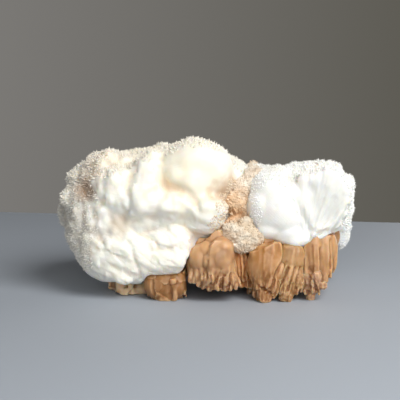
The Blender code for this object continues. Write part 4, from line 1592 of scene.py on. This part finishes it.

# %% [markdown]
# ## Finish: stilbite
# Stilbite is honey-brown to peach with a pearly shine on its plates. Fine lines run along each plate. The
# grooves between plates get painted dark red-brown shade, the lower part gets painted shade towards the
# table, and the rims get a painted highlight where they catch the light.

# %% Stilbite
def stilbite(name, light, deep, lean):
    """Pearly plates with lines along them; lean turns the lines in the front plane, in degrees."""
    skin, tree, shader = new_skin(name)
    place = object_place(tree)
    values = {"Rotation": (0, math.radians(lean), 0), "Scale": (1, 1, 0.16), "Vector": place}
    drawn_out = make_node(tree, "ShaderNodeMapping", values).outputs[0]
    height = make_node(tree, "ShaderNodeSeparateXYZ", {0: place}).outputs["Z"]
    # Painted shade: low darkens the plates towards the table, where they stand in shadow
    low = map_range(tree, height, 0.002, 0.021, 1.0, 0.0)
    lines = noise_of(tree, drawn_out, 900.0, 4.0, 0.6)
    bands = map_range(tree, noise_of(tree, drawn_out, 230.0, 3.0), 0.35, 0.68)
    patches = map_range(tree, noise_of(tree, place, 130.0, 3.0), 0.4, 0.6)
    dark_patches = map_range(tree, noise_of(tree, place, 75.0, 2.0), 0.48, 0.62)
    band_share = maths(tree, "ADD", maths(tree, "MULTIPLY", low, 0.3), 0.08)
    hollows = placed(tree, HOLLOW_SHADE_AND_RIM_LIGHT, Depth=0.3)
    colour = laid_over(tree, light, bands, band_share, deep)
    # Painted light: the low mask paints shade near the table, the groove tone paints shade in the grooves and
    # the rim tone paints a highlight on the rims; the patches are the plates' own tones
    for mask, share, tone in (
        (patches, 0.4, TAN), (dark_patches, 0.45, deep), (low, 0.75, deep),
        (hollows["Groove"], 0.6, RED_BROWN_SHADE), (hollows["Rim"], 0.42, PALE_RIM_LIGHT),
    ):
        colour = laid_over(tree, colour, mask, share, tone)
    feed(tree, shader, {
        "Base Color": colour,
        "Normal": bumped(tree, lines, 0.1, 0.12),
        "Roughness": map_range(tree, lines, 0.3, 0.7, 0.30, 0.5),
        "Subsurface Weight": 0.75,
        "Subsurface Radius": (1.0, 0.5, 0.22),
        "Subsurface Scale": 4.0 * MM,
        "Specular IOR Level": 0.35,
        "Coat Weight": 0.08,
        "Coat Roughness": 0.3,
    })
    return skin


TAN = (0.64, 0.39, 0.21)
# Red-brown is painted shade in the grooves, and the pale rim tone is a painted highlight on the rims
RED_BROWN_SHADE = (0.24, 0.085, 0.026)
PALE_RIM_LIGHT = (0.80, 0.55, 0.34)
# Light tone, deep tone and lean of the lines of each sheaf
SHEAF_TONES = {
    "stilbite_left_sliver": ((0.90, 0.74, 0.55), (0.70, 0.46, 0.27), 0),
    "stilbite_left_foot": ((0.40, 0.20, 0.07), (0.245, 0.105, 0.03), 0),
    "stilbite_centre_sheaf": ((0.58, 0.34, 0.175), (0.24, 0.105, 0.04), 0),
    "stilbite_middle_blades": ((0.56, 0.25, 0.08), (0.38, 0.14, 0.04), 0),
    "stilbite_foot_sheaf": ((0.42, 0.205, 0.07), (0.28, 0.12, 0.036), 10),
    "stilbite_khaki_sheaf": ((0.42, 0.235, 0.088), (0.27, 0.135, 0.046), 18),
    "stilbite_right_columns": ((0.48, 0.26, 0.115), (0.33, 0.15, 0.055), 0),
    "stilbite_small_cluster": ((0.52, 0.32, 0.20), (0.36, 0.18, 0.09), -10),
    "stilbite_back_centre": ((0.48, 0.27, 0.13), (0.36, 0.18, 0.08), 0),
    "stilbite_back_right": ((0.48, 0.28, 0.13), (0.36, 0.19, 0.08), 0),
}
for node, piece in sheaves.items():
    piece.data.materials.append(stilbite(piece.name.replace("_", " "), *SHEAF_TONES[node]))
print("sheaves with a finish:", len(sheaves))

# %% [markdown]
# ## Hand over
# Each piece rides on the one body, and the solid that it stands for is hidden.

# %% Hand over
STANDS_FOR = {
    left: ("scolecite_left_mass", "scolecite"),
    fan: ("scolecite_right_fan", "scolecite"),
    flap: ("scolecite_rear_flap", "scolecite"),
    cleft: ("cleft_druse", "honey_druse"),
    **{piece: (node, "stilbite") for node, piece in sheaves.items()},
}
for piece, (node, slot) in STANDS_FOR.items():
    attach(piece, "root")
    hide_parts(node)
for name, piece in druse.items():
    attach(piece, "root")
